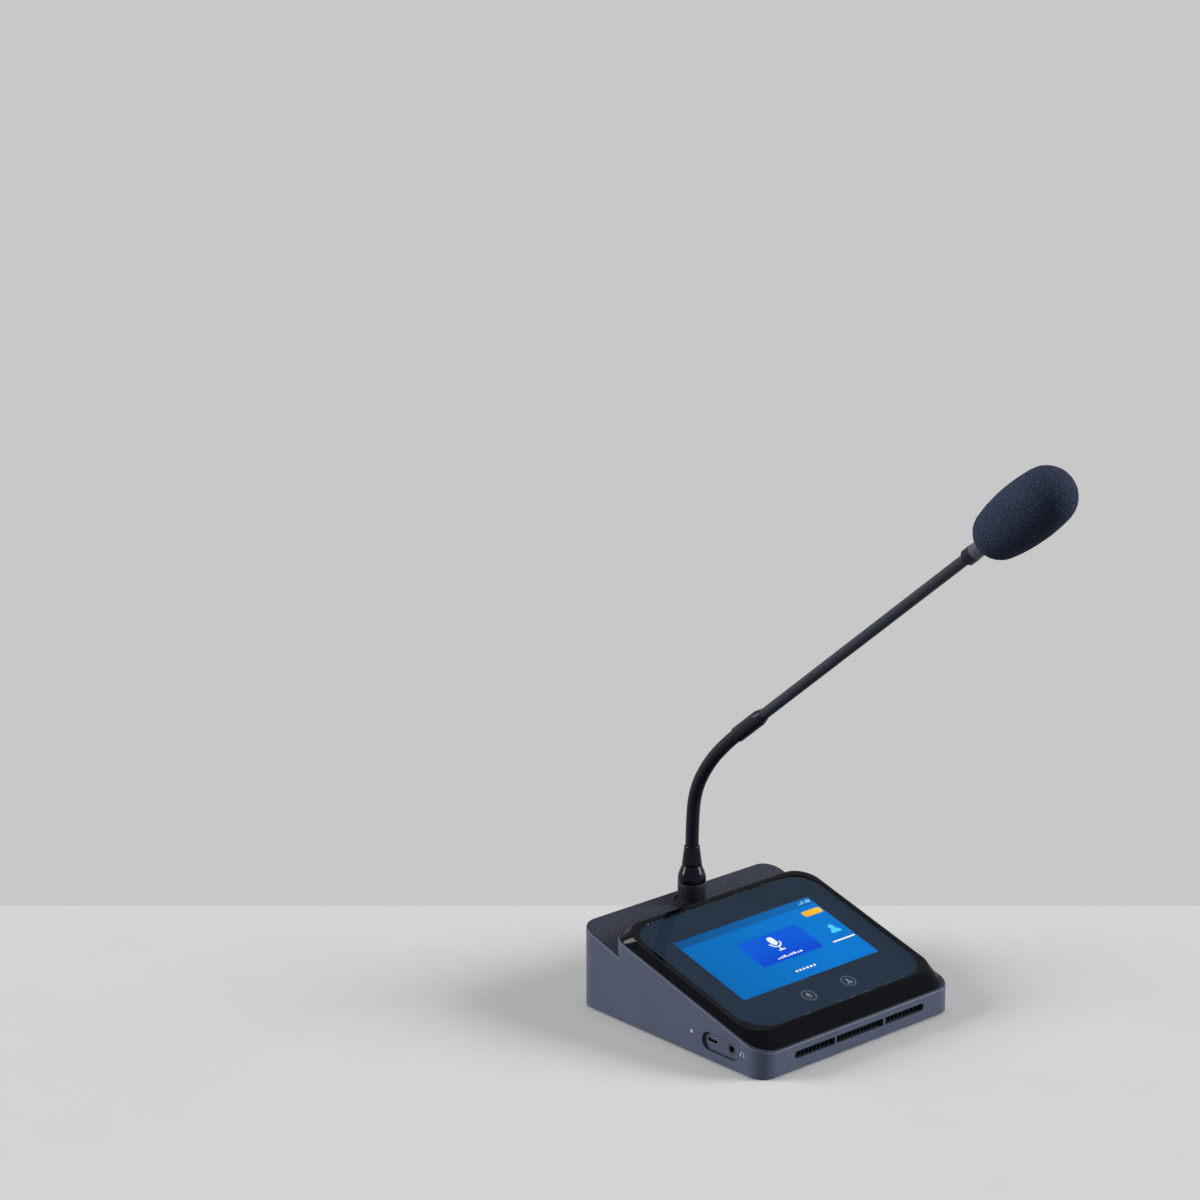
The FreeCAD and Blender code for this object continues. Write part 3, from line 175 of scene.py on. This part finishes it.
def painted_housing():
    """Grey paint on ABS: fine grain on the walls, a coarser one on faces turned up, coloured darker
    there as painted shade.
    """
    made, tree, shader, place = finish_named("painted_housing")
    # Walls: texture of a fine spark-eroded mould under the paint, grains of 0.45 mm
    fine = clouds(tree, place, 1 / 0.45, 3.0)
    patches = clouds(tree, place, 1 / 25, 2.0)
    both = add(tree, "ShaderNodeMix", {"Factor": 0.35, "A": fine, "B": patches}).outputs[0]
    wall = ramp(tree, both, linear("#454D61"), linear("#525B72"), NOISE_LOW, NOISE_HIGH)
    # Top faces: leather-like pebbles of about 1.1 mm, darker in the hollows, in a colour darker
    # than the walls that is painted shade
    pebble = add(tree, "ShaderNodeTexVoronoi", {
        "Vector": place, "Scale": 1 / 1.1, "Randomness": 1.0}).outputs["Distance"]
    top = ramp(tree, pebble, linear("#363A4B"), linear("#1F2330"), 0.15, 0.6)
    # 0 on walls, 1 on faces turned up, where the shade is painted
    normal = add(tree, "ShaderNodeNewGeometry").outputs["True Normal"]
    facing = add(tree, "ShaderNodeSeparateXYZ", {0: normal})
    upward = add(tree, "ShaderNodeMapRange", {
        "Value": facing.outputs[2], "From Min": 0.55, "From Max": 0.85}).outputs[0]
    gloss = add(tree, "ShaderNodeMapRange", {
        "Value": both, "From Min": NOISE_LOW, "From Max": NOISE_HIGH,
        "To Min": 0.42, "To Max": 0.54})
    matt = add(tree, "ShaderNodeMath", {0: upward, 1: 0.2, 2: gloss.outputs[0]},
               operation="MULTIPLY_ADD")
    hollow = add(tree, "ShaderNodeMath", {0: pebble, 1: -1.0}, operation="MULTIPLY")
    relief = add(tree, "ShaderNodeMix", {"Factor": upward, "A": fine, "B": hollow.outputs[0]})
    bump = add(tree, "ShaderNodeBump", {"Height": relief.outputs[0], "Distance": 0.05 * MM})
    # Faces turned up take the darker top colour: painted shade, not a different paint
    tree.links.new(mixed_colour(tree, upward, wall, top), shader.inputs["Base Color"])
    tree.links.new(matt.outputs[0], shader.inputs["Roughness"])
    tree.links.new(bump.outputs[0], shader.inputs["Normal"])
    shader.inputs["Specular IOR Level"].default_value = 0.3
    return made


def turned_metal(name, colour, roughness, scale):
    """Machined metal: the lathe tool's rings across the z axis, pi / (10 * scale) millimetres
    apart."""
    made, tree, shader, place = finish_named(name)
    rings = add(tree, "ShaderNodeTexWave", {
        "Vector": place, "Scale": scale, "Distortion": 0.6, "Detail": 1.0},
        bands_direction="Z")
    haze = clouds(tree, place, 0.4, 3.0)
    gloss = add(tree, "ShaderNodeMapRange", {
        "Value": haze, "To Min": roughness - 0.05, "To Max": roughness + 0.1})
    bump = add(tree, "ShaderNodeBump", {"Height": rings.outputs[0], "Distance": 0.01 * MM})
    colours = ramp(tree, haze, linear(colour, 0.85), linear(colour, 1.1))
    tree.links.new(colours, shader.inputs["Base Color"])
    tree.links.new(gloss.outputs[0], shader.inputs["Roughness"])
    tree.links.new(bump.outputs[0], shader.inputs["Normal"])
    shader.inputs["Metallic"].default_value = 1.0
    return made


def foam_finish():
    """Open-cell polyurethane foam: pores of about a millimetre, soft and very matt."""
    made, tree, shader, place = finish_named("open_cell_foam")
    pores = add(tree, "ShaderNodeTexVoronoi", {
        "Vector": place, "Scale": 0.9, "Randomness": 1.0}).outputs["Distance"]
    fluff = clouds(tree, place, 2.2, 4.0)
    mixed = add(tree, "ShaderNodeMix", {"Factor": 0.35, "A": pores, "B": fluff})
    bump = add(tree, "ShaderNodeBump", {"Height": mixed.outputs[0], "Distance": 0.5 * MM})
    colours = ramp(tree, pores, linear("#1A1F2D"), linear("#343D52"), 0.1, 0.75)
    tree.links.new(colours, shader.inputs["Base Color"])
    tree.links.new(bump.outputs[0], shader.inputs["Normal"])
    shader.inputs["Roughness"].default_value = 0.95
    shader.inputs["Specular IOR Level"].default_value = 0.1
    return made


def clear_finish(name, colour, ior, roughness):
    """Clear glass with a faint smear on its surface."""
    made, tree, shader, place = finish_named(name)
    gloss = add(tree, "ShaderNodeMapRange", {
        "Value": clouds(tree, place, 0.05, 3.0), "To Min": roughness, "To Max": roughness + 0.03})
    tree.links.new(gloss.outputs[0], shader.inputs["Roughness"])
    shader.inputs["Base Color"].default_value = linear(colour)
    shader.inputs["Transmission Weight"].default_value = 1.0
    shader.inputs["IOR"].default_value = ior
    return made


def lit_finish(name, low, high, axis, start, end):
    """A lit part of the display's picture: its light runs from one colour to another between
    two places along an axis."""
    made, tree, shader, place = finish_named(name)
    parts = add(tree, "ShaderNodeSeparateXYZ", {"Vector": place})
    along = add(tree, "ShaderNodeMapRange", {
        "Value": parts.outputs[axis], "From Min": start, "From Max": end})
    colours = ramp(tree, along.outputs[0], linear(low), linear(high))
    tree.links.new(colours, shader.inputs["Emission Color"])
    shader.inputs["Emission Strength"].default_value = 1.0
    shader.inputs["Base Color"].default_value = linear("#000000")
    shader.inputs["Roughness"].default_value = 0.9
    shader.inputs["Specular IOR Level"].default_value = 0.0
    return made


FINISHES = {
    "painted_housing": painted_housing(),
    # Black ABS insert behind the slots: light is lost in it
    "grille_abs": grained("grille_abs", "#0A0B10", 0.7, 0.4, 0.03, specular=0.1),
    # Zinc-plated sheet steel with a thin powder coat: slightly pebbled
    "powder_coat": grained("powder_coat", "#232428", 0.55, 0.8, 0.05, 0.15, metallic=0.3),
    # Zinc-plated steel of the screws
    "zinc_plate": grained("zinc_plate", "#A8ABAE", 0.35, 0.5, 0.01, 0.15, metallic=1.0),
    # Silicone rubber pad: dusty black with a fine grain
    "silicone_rubber": grained("silicone_rubber", "#17181A", 0.8, 0.6, 0.06, 0.2),
    # Polished black bezel moulding: deep black with sharp reflections
    "piano_black": grained("piano_black", "#04050C", 0.1, 2.5, 0.001, 0.2, specular=0.1),
    # Cover glass with an anti-reflective coat: clear, dark where the print lies behind it
    "cover_glass": clear_finish("cover_glass", "#FFFFFF", 1.12, 0.02),
    # Foam tape seal
    "seal_tape": grained("seal_tape", "#141416", 0.85, 0.7, 0.05),
    # Display panel's edge and back: satin aluminised film
    "panel_film": grained("panel_film", "#2A2C30", 0.3, 1.2, 0.005, metallic=0.4),
    # Stamped stainless steel
    "stamped_steel": grained("stamped_steel", "#B4B7BA", 0.3, 0.3, 0.006, 0.08, metallic=1.0),
    # Green solder mask over copper: glossy and faintly mottled
    "solder_mask": grained("solder_mask", "#1B5A3A", 0.3, 0.7, 0.02, 0.2, coat=0.4),
    # Turned brass of the standoffs and the socket's nut
    "turned_brass": turned_metal("turned_brass", "#C9A65A", 0.28, 0.2),
    # Tin-plated sheet of the shield can
    "tin_plate": grained("tin_plate", "#C3C6C9", 0.25, 0.4, 0.006, 0.06, metallic=1.0),
    # Moulded epoxy of the chips and the socket's insulator: matt black
    "epoxy_black": grained("epoxy_black", "#16171A", 0.6, 0.25, 0.02),
    # White nylon of the board's connectors
    "nylon_white": grained("nylon_white", "#DEDACE", 0.45, 0.6, 0.02, 0.05),
    # Heat-shrunk sleeve over the cells
    "shrink_wrap": grained("shrink_wrap", "#3C4A78", 0.22, 3.0, 0.08, 0.15, coat=0.3),
    # Black ABS of the loudspeaker's box and frame
    "speaker_abs": grained("speaker_abs", "#1A1B1E", 0.55, 0.4, 0.03),
    # Pressed paper pulp of a loudspeaker cone
    "cone_paper": grained("cone_paper", "#26262A", 0.9, 0.9, 0.08, 0.25, specular=0.2),
    # Zinc plate on the loudspeaker's magnet
    "magnet_plate": grained("magnet_plate", "#85888C", 0.35, 0.5, 0.01, metallic=1.0),
    # Nickel-plated shell of the USB-C receptacle
    "nickel_plate": grained("nickel_plate", "#B9BBC0", 0.22, 0.5, 0.004, 0.06, metallic=1.0),
    # Black nylon of the USB-C tongue and the jack's body
    "port_black": grained("port_black", "#101114", 0.45, 0.3, 0.02),
    # Frosted acrylic that guides the status lamp's light
    "frosted_acrylic": grained("frosted_acrylic", "#B4BAC8", 0.45, 0.5, 0.01, 0.04),
    # Smoked acrylic of the light rings: greyish black until their lamps are lit
    "smoked_acrylic": grained("smoked_acrylic", "#4A4D5C", 0.35, 0.5, 0.01, 0.08, specular=0.3),
    # Moulded ABS of the collar: matt dark grey, it reads a little paler than the metal above it
    "collar_abs": grained("collar_abs", "#22262F", 0.5, 0.4, 0.02, 0.12, specular=0.25),
    # Fine powder coat on the thin steel tube of the stem: charcoal, softly lit along its side
    "powder_coated_tube": grained(
        "powder_coated_tube", "#30333E", 0.45, 0.35, 0.012, 0.12, specular=0.12),
    # Satin black lacquer on brass and steel of the microphone's metal parts
    "satin_lacquer": grained("satin_lacquer", "#161823", 0.38, 0.35, 0.012, 0.15, specular=0.15),
    # Gloss lacquer of the plug and its ferrule: deep black between two long highlights
    "gloss_lacquer": grained("gloss_lacquer", "#05071A", 0.16, 1.2, 0.004, 0.15, specular=0.17),
    # Spiral-wound steel under a black sleeve: satin, faintly uneven
    "neck_sleeving": grained("neck_sleeving", "#141622", 0.4, 0.5, 0.02, 0.2, specular=0.12),
    # Gold plate on the plug's pins
    "gold_plate": grained("gold_plate", "#E0B664", 0.25, 0.4, 0.004, 0.05, metallic=1.0),
    # Turned aluminium of the capsule, its grille and its tube
    "turned_aluminium": turned_metal("turned_aluminium", "#C4C6C8", 0.32, 0.25),
    "open_cell_foam": foam_finish(),
}

NODE_FINISHES = {
    "painted_housing": ["upper_housing"],
    "grille_abs": ["front_grille"],
    "powder_coat": ["bottom_plate"],
    "zinc_plate": ["base_screws", "bezel_screws", "board_screws"],
    "silicone_rubber": ["anti_slip_pad"],
    "piano_black": ["display_bezel"],
    "cover_glass": ["touch_glass"],
    "seal_tape": ["display_seal"],
    "panel_film": ["lcd_panel"],
    "stamped_steel": ["lcd_bracket"],
    "solder_mask": [
        "touch_key_board", "main_board", "antenna_board", "port_board", "ring_lamp_board"],
    "turned_brass": ["board_standoffs", "socket_nut"],
    "tin_plate": ["shield_can"],
    "epoxy_black": ["processor_chip", "lamp_chip", "socket_insert"],
    "nylon_white": ["board_connectors"],
    "shrink_wrap": ["battery_pack"],
    "speaker_abs": ["speaker_box", "speaker_frame"],
    "cone_paper": ["speaker_cone"],
    "magnet_plate": ["speaker_magnet"],
    "nickel_plate": ["usb_c_shell"],
    "port_black": ["usb_c_tongue", "headphone_jack"],
    "frosted_acrylic": ["lamp_light_pipe"],
    "smoked_acrylic": ["jack_ring", "light_ring"],
    "collar_abs": ["locking_collar"],
    "satin_lacquer": ["mic_socket", "neck_sleeve", "head_ferrule"],
    "powder_coated_tube": ["stem_tube"],
    "gloss_lacquer": ["mic_plug", "lower_ferrule"],
    "neck_sleeving": ["gooseneck_1", "gooseneck_2", "gooseneck_3", "gooseneck_4"],
    "gold_plate": ["plug_pins"],
    "turned_aluminium": ["capsule_tube", "mic_capsule", "capsule_grille"],
    "open_cell_foam": ["foam_windscreen"],
}
for finish, names in NODE_FINISHES.items():
    for name in names:
        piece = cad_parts[name]
        piece.data.materials.clear()
        piece.data.materials.append(FINISHES[finish])


# Pieces


def mesh_piece(name, points, faces, materials, face_materials=None, smooth=True):
    """A mesh object from points in millimetres."""
    mesh = bpy.data.meshes.new(name)
    mesh.from_pydata([Vector(p) * MM for p in points], [], faces)
    for material in materials:
        mesh.materials.append(material)
    for i, face in enumerate(mesh.polygons):
        face.use_smooth = smooth
        if face_materials:
            face.material_index = face_materials[i]
    mesh.update()
    made = bpy.data.objects.new(name, mesh)
    bpy.context.scene.collection.objects.link(made)
    return made


def on_slope(u, v, h):
    """A point of the sloped top in the model's frame."""
    up_slope = Vector((0, math.cos(SLOPE_TILT), math.sin(SLOPE_TILT)))
    out = Vector((0, -math.sin(SLOPE_TILT), math.cos(SLOPE_TILT)))
    return SLOPE_ORIGIN + Vector((u, 0, 0)) + up_slope * v + out * h


def round_bar(left, right, low, high, rounding, top_rounding=None, steps=6):
    """Outline of a bar with rounded corners, counterclockwise: its top ones may have their own
    radius."""
    outline = []
    corners = ((right, low, -90), (right, high, 0), (left, high, 90), (left, low, 180))
    for x, y, start in corners:
        radius = top_rounding if top_rounding and y == high else rounding
        centre_x = x - math.copysign(radius, x - (left + right) / 2)
        centre_y = y - math.copysign(radius, y - (low + high) / 2)
        for i in range(steps + 1):
            angle = math.radians(start + 90 * i / steps)
            outline.append((
                centre_x + radius * math.cos(angle), centre_y + radius * math.sin(angle)))
    return outline


def arc_band(x, y, inner, outer, start, end):
    """Outline of a band bent round a point, from one angle to another."""
    angles = [math.radians(start + (end - start) * i / ARC_STEPS) for i in range(ARC_STEPS + 1)]
    outside = [(x + outer * math.cos(a), y + outer * math.sin(a)) for a in angles]
    inside = [(x + inner * math.cos(a), y + inner * math.sin(a)) for a in reversed(angles)]
    return outside + inside


def disc(x, y, radius):
    """Outline of a disc."""
    angles = [math.radians(360 * i / ARC_STEPS) for i in range(ARC_STEPS)]
    return [(x + radius * math.cos(a), y + radius * math.sin(a)) for a in angles]


def dome(x, y, radius):
    """Outline of the upper half of a disc."""
    angles = [math.radians(180 * i / ARC_STEPS) for i in range(ARC_STEPS + 1)]
    return [(x + radius * math.cos(a), y + radius * math.sin(a)) for a in angles]


def printed(name, marks, to_point, materials):
    """Thin printed or lit marks: each is (outline, height, material number)."""
    points, faces, chosen = [], [], []
    band = 2 * (ARC_STEPS + 1)
    for outline, height, material in marks:
        start, count = len(points), len(outline)
        points += [to_point(x, y, height) for x, y in outline]
        if count == band:
            # A bent band isn't convex, so it is filled strip by strip
            filled = [(start + i, start + i + 1, start + count - 2 - i, start + count - 1 - i)
                      for i in range(ARC_STEPS)]
        else:
            filled = [tuple(range(start, start + count))]
        faces += filled
        chosen += [material] * len(filled)
    return mesh_piece(name, points, faces, materials, chosen, smooth=False)


def display_picture():
    """The lit picture behind the glass: a plain menu of generic signs."""
    half = PICTURE_WIDTH / 2
    materials = [
        lit_finish("picture_blue", "#0069B6", "#0076D0", axis=0, start=-half, end=25),
        lit_finish("picture_bar", "#06528E", "#0668B4", axis=0, start=-half, end=half),
        lit_finish("picture_tile", "#0034D0", "#0458D8", axis=2, start=33.5, end=40.5),
        lit_finish("picture_white", "#D9EEFF", "#FFFFFF", axis=0, start=-half, end=half),
        lit_finish("picture_amber", "#F0B429", "#FFC93C", axis=0, start=38, end=56),
        lit_finish("picture_cyan", "#35C8F5", "#5FDCFF", axis=0, start=38, end=56),
        lit_finish("picture_pale", "#4FA8E8", "#7FC4F2", axis=0, start=-half, end=half),
    ]
    blue, bar, tile, white, amber, cyan, pale = range(7)
    # Ground, a darker bar along its top and the tile in its middle
    marks = [
        (round_bar(-half, half, PICTURE_LOW, PICTURE_HIGH, 0.3), GROUND_LEVEL, blue),
        (round_bar(-half, half, 97.6, PICTURE_HIGH, 0.3), MIDDLE_LEVEL, bar),
        (round_bar(-21.5, 27.5, 61.0, 86.0, 1.5), MIDDLE_LEVEL, tile),
    ]
    signs = [
        # A microphone: capsule, cradle, stand and foot
        (round_bar(-0.4, 4.4, 75.2, 83.2, 2.35), white),
        (arc_band(2.0, 77.6, 3.6, 4.6, 180, 360), white),
        (round_bar(1.5, 2.5, 70.6, 73.2, 0.3), white),
        (round_bar(-0.6, 4.6, 69.6, 70.7, 0.4), white),
        # Level meter on the tile and a row of dots below it
        *[(round_bar(-7.6 + 2.6 * i, -5.8 + 2.6 * i, 63.2, 64.2 + (i % 3) * 0.5, 0.3), white)
          for i in range(8)],
        *[(round_bar(-6.6 + 2.9 * i, -4.8 + 2.9 * i, 48.6, 50.4, 0.8), white) for i in range(6)],
        # Amber badge, and a person with a bar below
        (round_bar(39.0, 54.2, 88.4, 93.6, 1.6), amber),
        (disc(46.5, 74.2, 2.2), cyan),
        (dome(46.5, 68.6, 4.0), cyan),
        (round_bar(36.0, 54.2, 61.0, 62.2, 0.5), white),
        # Status signs: strength steps and a battery
        *[(round_bar(44.0 + 1.3 * i, 44.9 + 1.3 * i, 99.8, 100.6 + 0.7 * i, 0.15), pale)
          for i in range(4)],
        (round_bar(50.2, 54.0, 99.9, 102.3, 0.4), pale),
    ]
    marks += [(outline, FRONT_LEVEL, colour) for outline, colour in signs]
    made = printed("display_picture", marks, on_slope, materials)
    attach(made, "base")


def black_print():
    """Black print on the back of the glass, with a window a little wider than the picture."""
    black = grained("print_black", "#1E2B3A", 0.6, 1.5, 0.001, 0.05, specular=0.0)
    outer = round_bar(-72.3, 72.3, 14.4, 126.0, 20.0, 17.0, steps=8)
    margin = 0.2
    half = PICTURE_WIDTH / 2 + margin
    inner = round_bar(-half, half, PICTURE_LOW - margin, PICTURE_HIGH + margin, 0.4, steps=8)
    points = [on_slope(x, y, PRINT_LEVEL) for x, y in outer + inner]
    count = len(outer)
    faces = [(i, (i + 1) % count, count + (i + 1) % count, count + i) for i in range(count)]
    made = mesh_piece("black_print", points, faces, [black], smooth=False)
    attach(made, "base")


def touch_signs():
    """Two grey touch signs on the print: a microphone and a person, each in a ring."""
    grey = grained("print_grey", "#747A8A", 0.6, 0.8, 0.001, 0.05, specular=0.0)
    microphone, person = -16.2, 16.2
    outlines = [
        arc_band(microphone, 28.2, 4.3, 4.7, 0, 360),
        arc_band(person, 28.2, 4.3, 4.7, 0, 360),
        round_bar(microphone - 1.0, microphone + 1.0, 27.6, 30.6, 0.9),
        arc_band(microphone, 28.6, 1.7, 2.1, 180, 360),
        round_bar(microphone - 0.2, microphone + 0.2, 25.6, 26.6, 0.1),
        disc(person, 29.4, 1.0),
        dome(person, 26.0, 2.1),
    ]
    marks = [(outline, PRINT_LEVEL + INK, 0) for outline in outlines]
    signs = printed("touch_signs", marks, on_slope, [grey])
    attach(signs, "base")


def neck_path(number, steps):
    """Points along one section of the gooseneck: (y, z, lean in radians)."""
    y, z, lean = NECK_START_Y, NECK_START_Z, 0.0
    for i in range(number):
        turn = math.radians(SECTION_TURNS[i])
        radius = SECTION_LENGTH / turn
        parts = steps if i == number - 1 else 1
        path = [(
            y - radius * math.cos(lean) + radius * math.cos(lean + turn * k / parts),
            z - radius * math.sin(lean) + radius * math.sin(lean + turn * k / parts),
            lean + turn * k / parts,
        ) for k in range(parts + 1)]
        y, z, lean = path[-1]
    return path


def outward(lean, angle):
    """The direction away from an axis that leans forward, at an angle round it."""
    across = Vector((0, math.cos(lean), math.sin(lean)))
    return Vector((math.sin(angle), 0, 0)) + across * math.cos(angle)


def gooseneck_section(number):
    """A spiral-wound tube along one arc: shallow grooves that run on from section to section."""
    # Turns of the winding, points along a turn, points around it and the grooves' depth
    turns, per_turn, around, groove = 16, 8, 40, 0.12
    steps = turns * per_turn
    angles = [2 * math.pi * j / around for j in range(around)]
    path = neck_path(number, steps)
    points, faces = [], []
    for k, (y, z, lean) in enumerate(path):
        for j, angle in enumerate(angles):
            phase = (k / per_turn - j / around) % 1
            dip = groove * max(0.0, math.cos(2 * math.pi * phase)) ** 2
            points.append(Vector((0, y, z)) + outward(lean, angle) * (NECK_RADIUS - dip))
    inner = len(points)
    for y, z, lean in path[::per_turn]:
        points += [Vector((0, y, z)) + outward(lean, angle) * NECK_BORE for angle in angles]
    top, inner_top = steps * around, inner + turns * around
    for j in range(around):
        following = (j + 1) % around
        for k in range(steps):
            a, b = k * around, (k + 1) * around
            faces.append((a + following, a + j, b + j, b + following))
        for k in range(turns):
            a, b = inner + k * around, inner + (k + 1) * around
            faces.append((a + j, a + following, b + following, b + j))
        faces.append((following, inner + following, inner + j, j))
        faces.append((top + j, inner_top + j, inner_top + following, top + following))
    made = mesh_piece(f"neck_winding_{number}", points, faces, [FINISHES["neck_sleeving"]])
    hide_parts(f"gooseneck_{number}")
    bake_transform(made)


def along_stem(t, radius, angle):
    """A point beside the stem's axis, t from the gooseneck's end."""
    y, z, lean = neck_path(4, 1)[-1]
    axis = Vector((0, -math.sin(lean), math.cos(lean)))
    return Vector((0, y, z)) + axis * t + outward(lean, angle) * radius


def foam_radius(t):
    """Radius of the foam at a place along the stem: the widest of the balls that follow one
    another, with radii on a parabola through the three that are given."""
    (c0, r0), (c1, r1), (c2, r2) = FOAM_BALLS
    steps = 80
    widest = 0.0
    for i in range(steps + 1):
        c = c0 + (c2 - c0) * i / steps
        ball = (r0 * (c - c1) * (c - c2) / ((c0 - c1) * (c0 - c2))
                + r1 * (c - c0) * (c - c2) / ((c1 - c0) * (c1 - c2))
                + r2 * (c - c0) * (c - c1) / ((c2 - c0) * (c2 - c1)))
        widest = max(widest, ball ** 2 - (t - c) ** 2)
    return math.sqrt(widest)


def foam_outline():
    """(distance along the stem, radius) from the mouth of the bore to the tip."""
    # The mouth is this much wider than the bore, and the tip is taken this far below the top
    mouth_edge, tip_gap, steps = 0.4, 0.001, 64
    low = FOAM_BALLS[0][0] - math.sqrt(FOAM_BALLS[0][1] ** 2 - (FOAM_BORE_RADIUS + mouth_edge) ** 2)
    high = FOAM_BALLS[2][0] + FOAM_BALLS[2][1]
    middle, reach = (low + high) / 2, (high - low) / 2
    outline = []
    for i in range(steps + 1):
        t = middle - reach * math.cos(math.pi * i / steps)
        outline.append((t, foam_radius(min(t, high - tip_gap))))
    return outline


def foam_windscreen():
    """Moulded foam: a soft skin with small dents, and a straight bore for the capsule."""
    around = 120
    angles = [2 * math.pi * j / around for j in range(around)]
    outline = foam_outline()
    tip = outline.pop()
    points, faces = [], []
    for t, radius in outline:
        for angle in angles:
            point = along_stem(t, radius, angle)
            dent = sum(noise.noise(point * scale) * depth for scale, depth in FOAM_DENTS)
            points.append(along_stem(t, radius + dent - FOAM_SKIN, angle))
    rings = len(outline)
    for k in range(rings - 1):
        for j in range(around):
            a, b = k * around, (k + 1) * around
            following = (j + 1) % around
            faces.append((a + following, a + j, b + j, b + following))
    last, tip_point = (rings - 1) * around, len(points)
    points.append(along_stem(tip[0] - FOAM_SKIN / 2, 0, 0))
    faces += [(last + (j + 1) % around, last + j, tip_point) for j in range(around)]
    # The bore: its mouth, its wall and its end
    mouth_depth, tightness = 0.6, 0.05
    mouth = len(points)
    for t in (outline[0][0] + mouth_depth, FOAM_BORE_END):
        points += [along_stem(t, FOAM_BORE_RADIUS - tightness, angle) for angle in angles]
    wall_end, end_point = mouth + around, len(points)
    points.append(along_stem(FOAM_BORE_END, 0, 0))
    for j in range(around):
        following = (j + 1) % around
        faces.append((j, following, mouth + following, mouth + j))
        faces.append((mouth + j, mouth + following, wall_end + following, wall_end + j))
        faces.append((wall_end + j, wall_end + following, end_point))
    made = mesh_piece("foam_cover", points, faces, [FINISHES["open_cell_foam"]])
    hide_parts("foam_windscreen")
    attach(made, "windscreen")


def port_signs():
    """A small pale headphone sign printed on the left wall beside the jack."""
    pale = grained("sign_pale", "#B9BECB", 0.5, 0.6, 0.002, 0.05)
    wall_x, centre_y, centre_z = -79, -61.7, 12.5

    def on_wall(x, y, height):
        return Vector((wall_x - height, centre_y - x, centre_z + y))

    # The strap and the two cups
    outlines = [
        arc_band(0, 0.1, 1.2, 1.6, 0, 180),
        round_bar(-1.8, -1.0, -1.2, 0.2, 0.3),
        round_bar(1.0, 1.8, -1.2, 0.2, 0.3),
    ]
    made = printed("port_signs", [(outline, INK, 0) for outline in outlines], on_wall, [pale])
    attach(made, "base")


display_picture()
black_print()
touch_signs()
for section in (1, 2, 3, 4):
    gooseneck_section(section)
foam_windscreen()
port_signs()


# Studio


def seen_directly(tree):
    """1 for what the camera sees, also in a mirror or through glass, 0 for other light."""
    path = add(tree, "ShaderNodeLightPath")
    seen = path.outputs["Is Camera Ray"]
    for way in ("Is Glossy Ray", "Is Transmission Ray"):
        seen = add(tree, "ShaderNodeMath", {0: seen, 1: path.outputs[way]},
                   operation="MAXIMUM").outputs[0]
    return seen


def pale_floor():
    """Matt pale paper with a faint cloud: it throws less light up at the walls than it shows."""
    made, tree, shader, place = finish_named("pale_floor")
    shown = ramp(tree, clouds(tree, place, 1 / 60, 3.0), linear("#C8C8C8"), linear("#CDCDCD"))
    colour = mixed_colour(tree, seen_directly(tree), linear("#808080"), shown)
    tree.links.new(colour, shader.inputs["Base Color"])
    shader.inputs["Roughness"].default_value = 0.9
    shader.inputs["Specular IOR Level"].default_value = 0.0
    return made


def studio():
    """Plain pale floor that ends where the backdrop begins, and three soft suns."""
    away = Vector((math.sin(VIEW_AZIMUTH), math.cos(VIEW_AZIMUTH), 0))
    sideways = Vector((away.y, -away.x, 0))
    # The floor's near and far edge, half its width and its height
    near, far, half, level = -2600, 162, 2600, -0.05
    corners = [(-half, near), (half, near), (half, far), (-half, far)]
    points = [sideways * across + away * along + Vector((0, 0, level)) for across, along in corners]
    floor = mesh_piece("floor", points, [(0, 1, 2, 3)], [pale_floor()], smooth=False)

    world = bpy.data.worlds.new("soft_studio")
    world.use_nodes = True
    tree = world.node_tree
    tree.nodes.clear()
    light = add(tree, "ShaderNodeBackground", {"Color": (1, 1, 1, 1), "Strength": 0.16})
    backdrop = add(tree, "ShaderNodeBackground", {"Color": linear("#C8C8C8"), "Strength": 1.0})
    mixed = add(tree, "ShaderNodeMixShader", {
        0: seen_directly(tree), 1: light.outputs[0], 2: backdrop.outputs[0]})
    add(tree, "ShaderNodeOutputWorld", {"Surface": mixed.outputs[0]})
    bpy.context.scene.world = world

    # Where each lamp stands, how wide it is (in degrees) and how strong
    distance = 2
    for name, azimuth, height, spread, power in (
        ("left_lamp", 138, 23, 30, 2.9),
        ("right_lamp", -42, 23, 30, 3.3),
        ("top_lamp", 90, 84, 40, 0.6),
    ):
        lamp = bpy.data.lights.new(name, "SUN")
        lamp.angle = math.radians(spread)
        lamp.energy = power
        holder = bpy.data.objects.new(name, lamp)
        turned, raised = math.radians(azimuth), math.radians(height)
        toward = Vector((
            math.cos(turned) * math.cos(raised), math.sin(turned) * math.cos(raised),
            math.sin(raised)))
        holder.location = toward * distance
        holder.rotation_euler = (-toward).to_track_quat("-Z", "Y").to_euler()
        bpy.context.scene.collection.objects.link(holder)


def camera():
    """The photograph's own viewpoint."""
    lens = bpy.data.cameras.new("camera")
    lens.lens = 110.67
    lens.sensor_width = 36
    lens.clip_end = 50
    holder = bpy.data.objects.new("camera", lens)
    holder.location = (-1.4234, -1.4373, 0.8634)
    holder.rotation_euler = (math.radians(73.15), 0, -VIEW_AZIMUTH)
    bpy.context.scene.collection.objects.link(holder)
    bpy.context.scene.camera = holder


studio()
camera()
bpy.context.scene.view_settings.view_transform = "Standard"
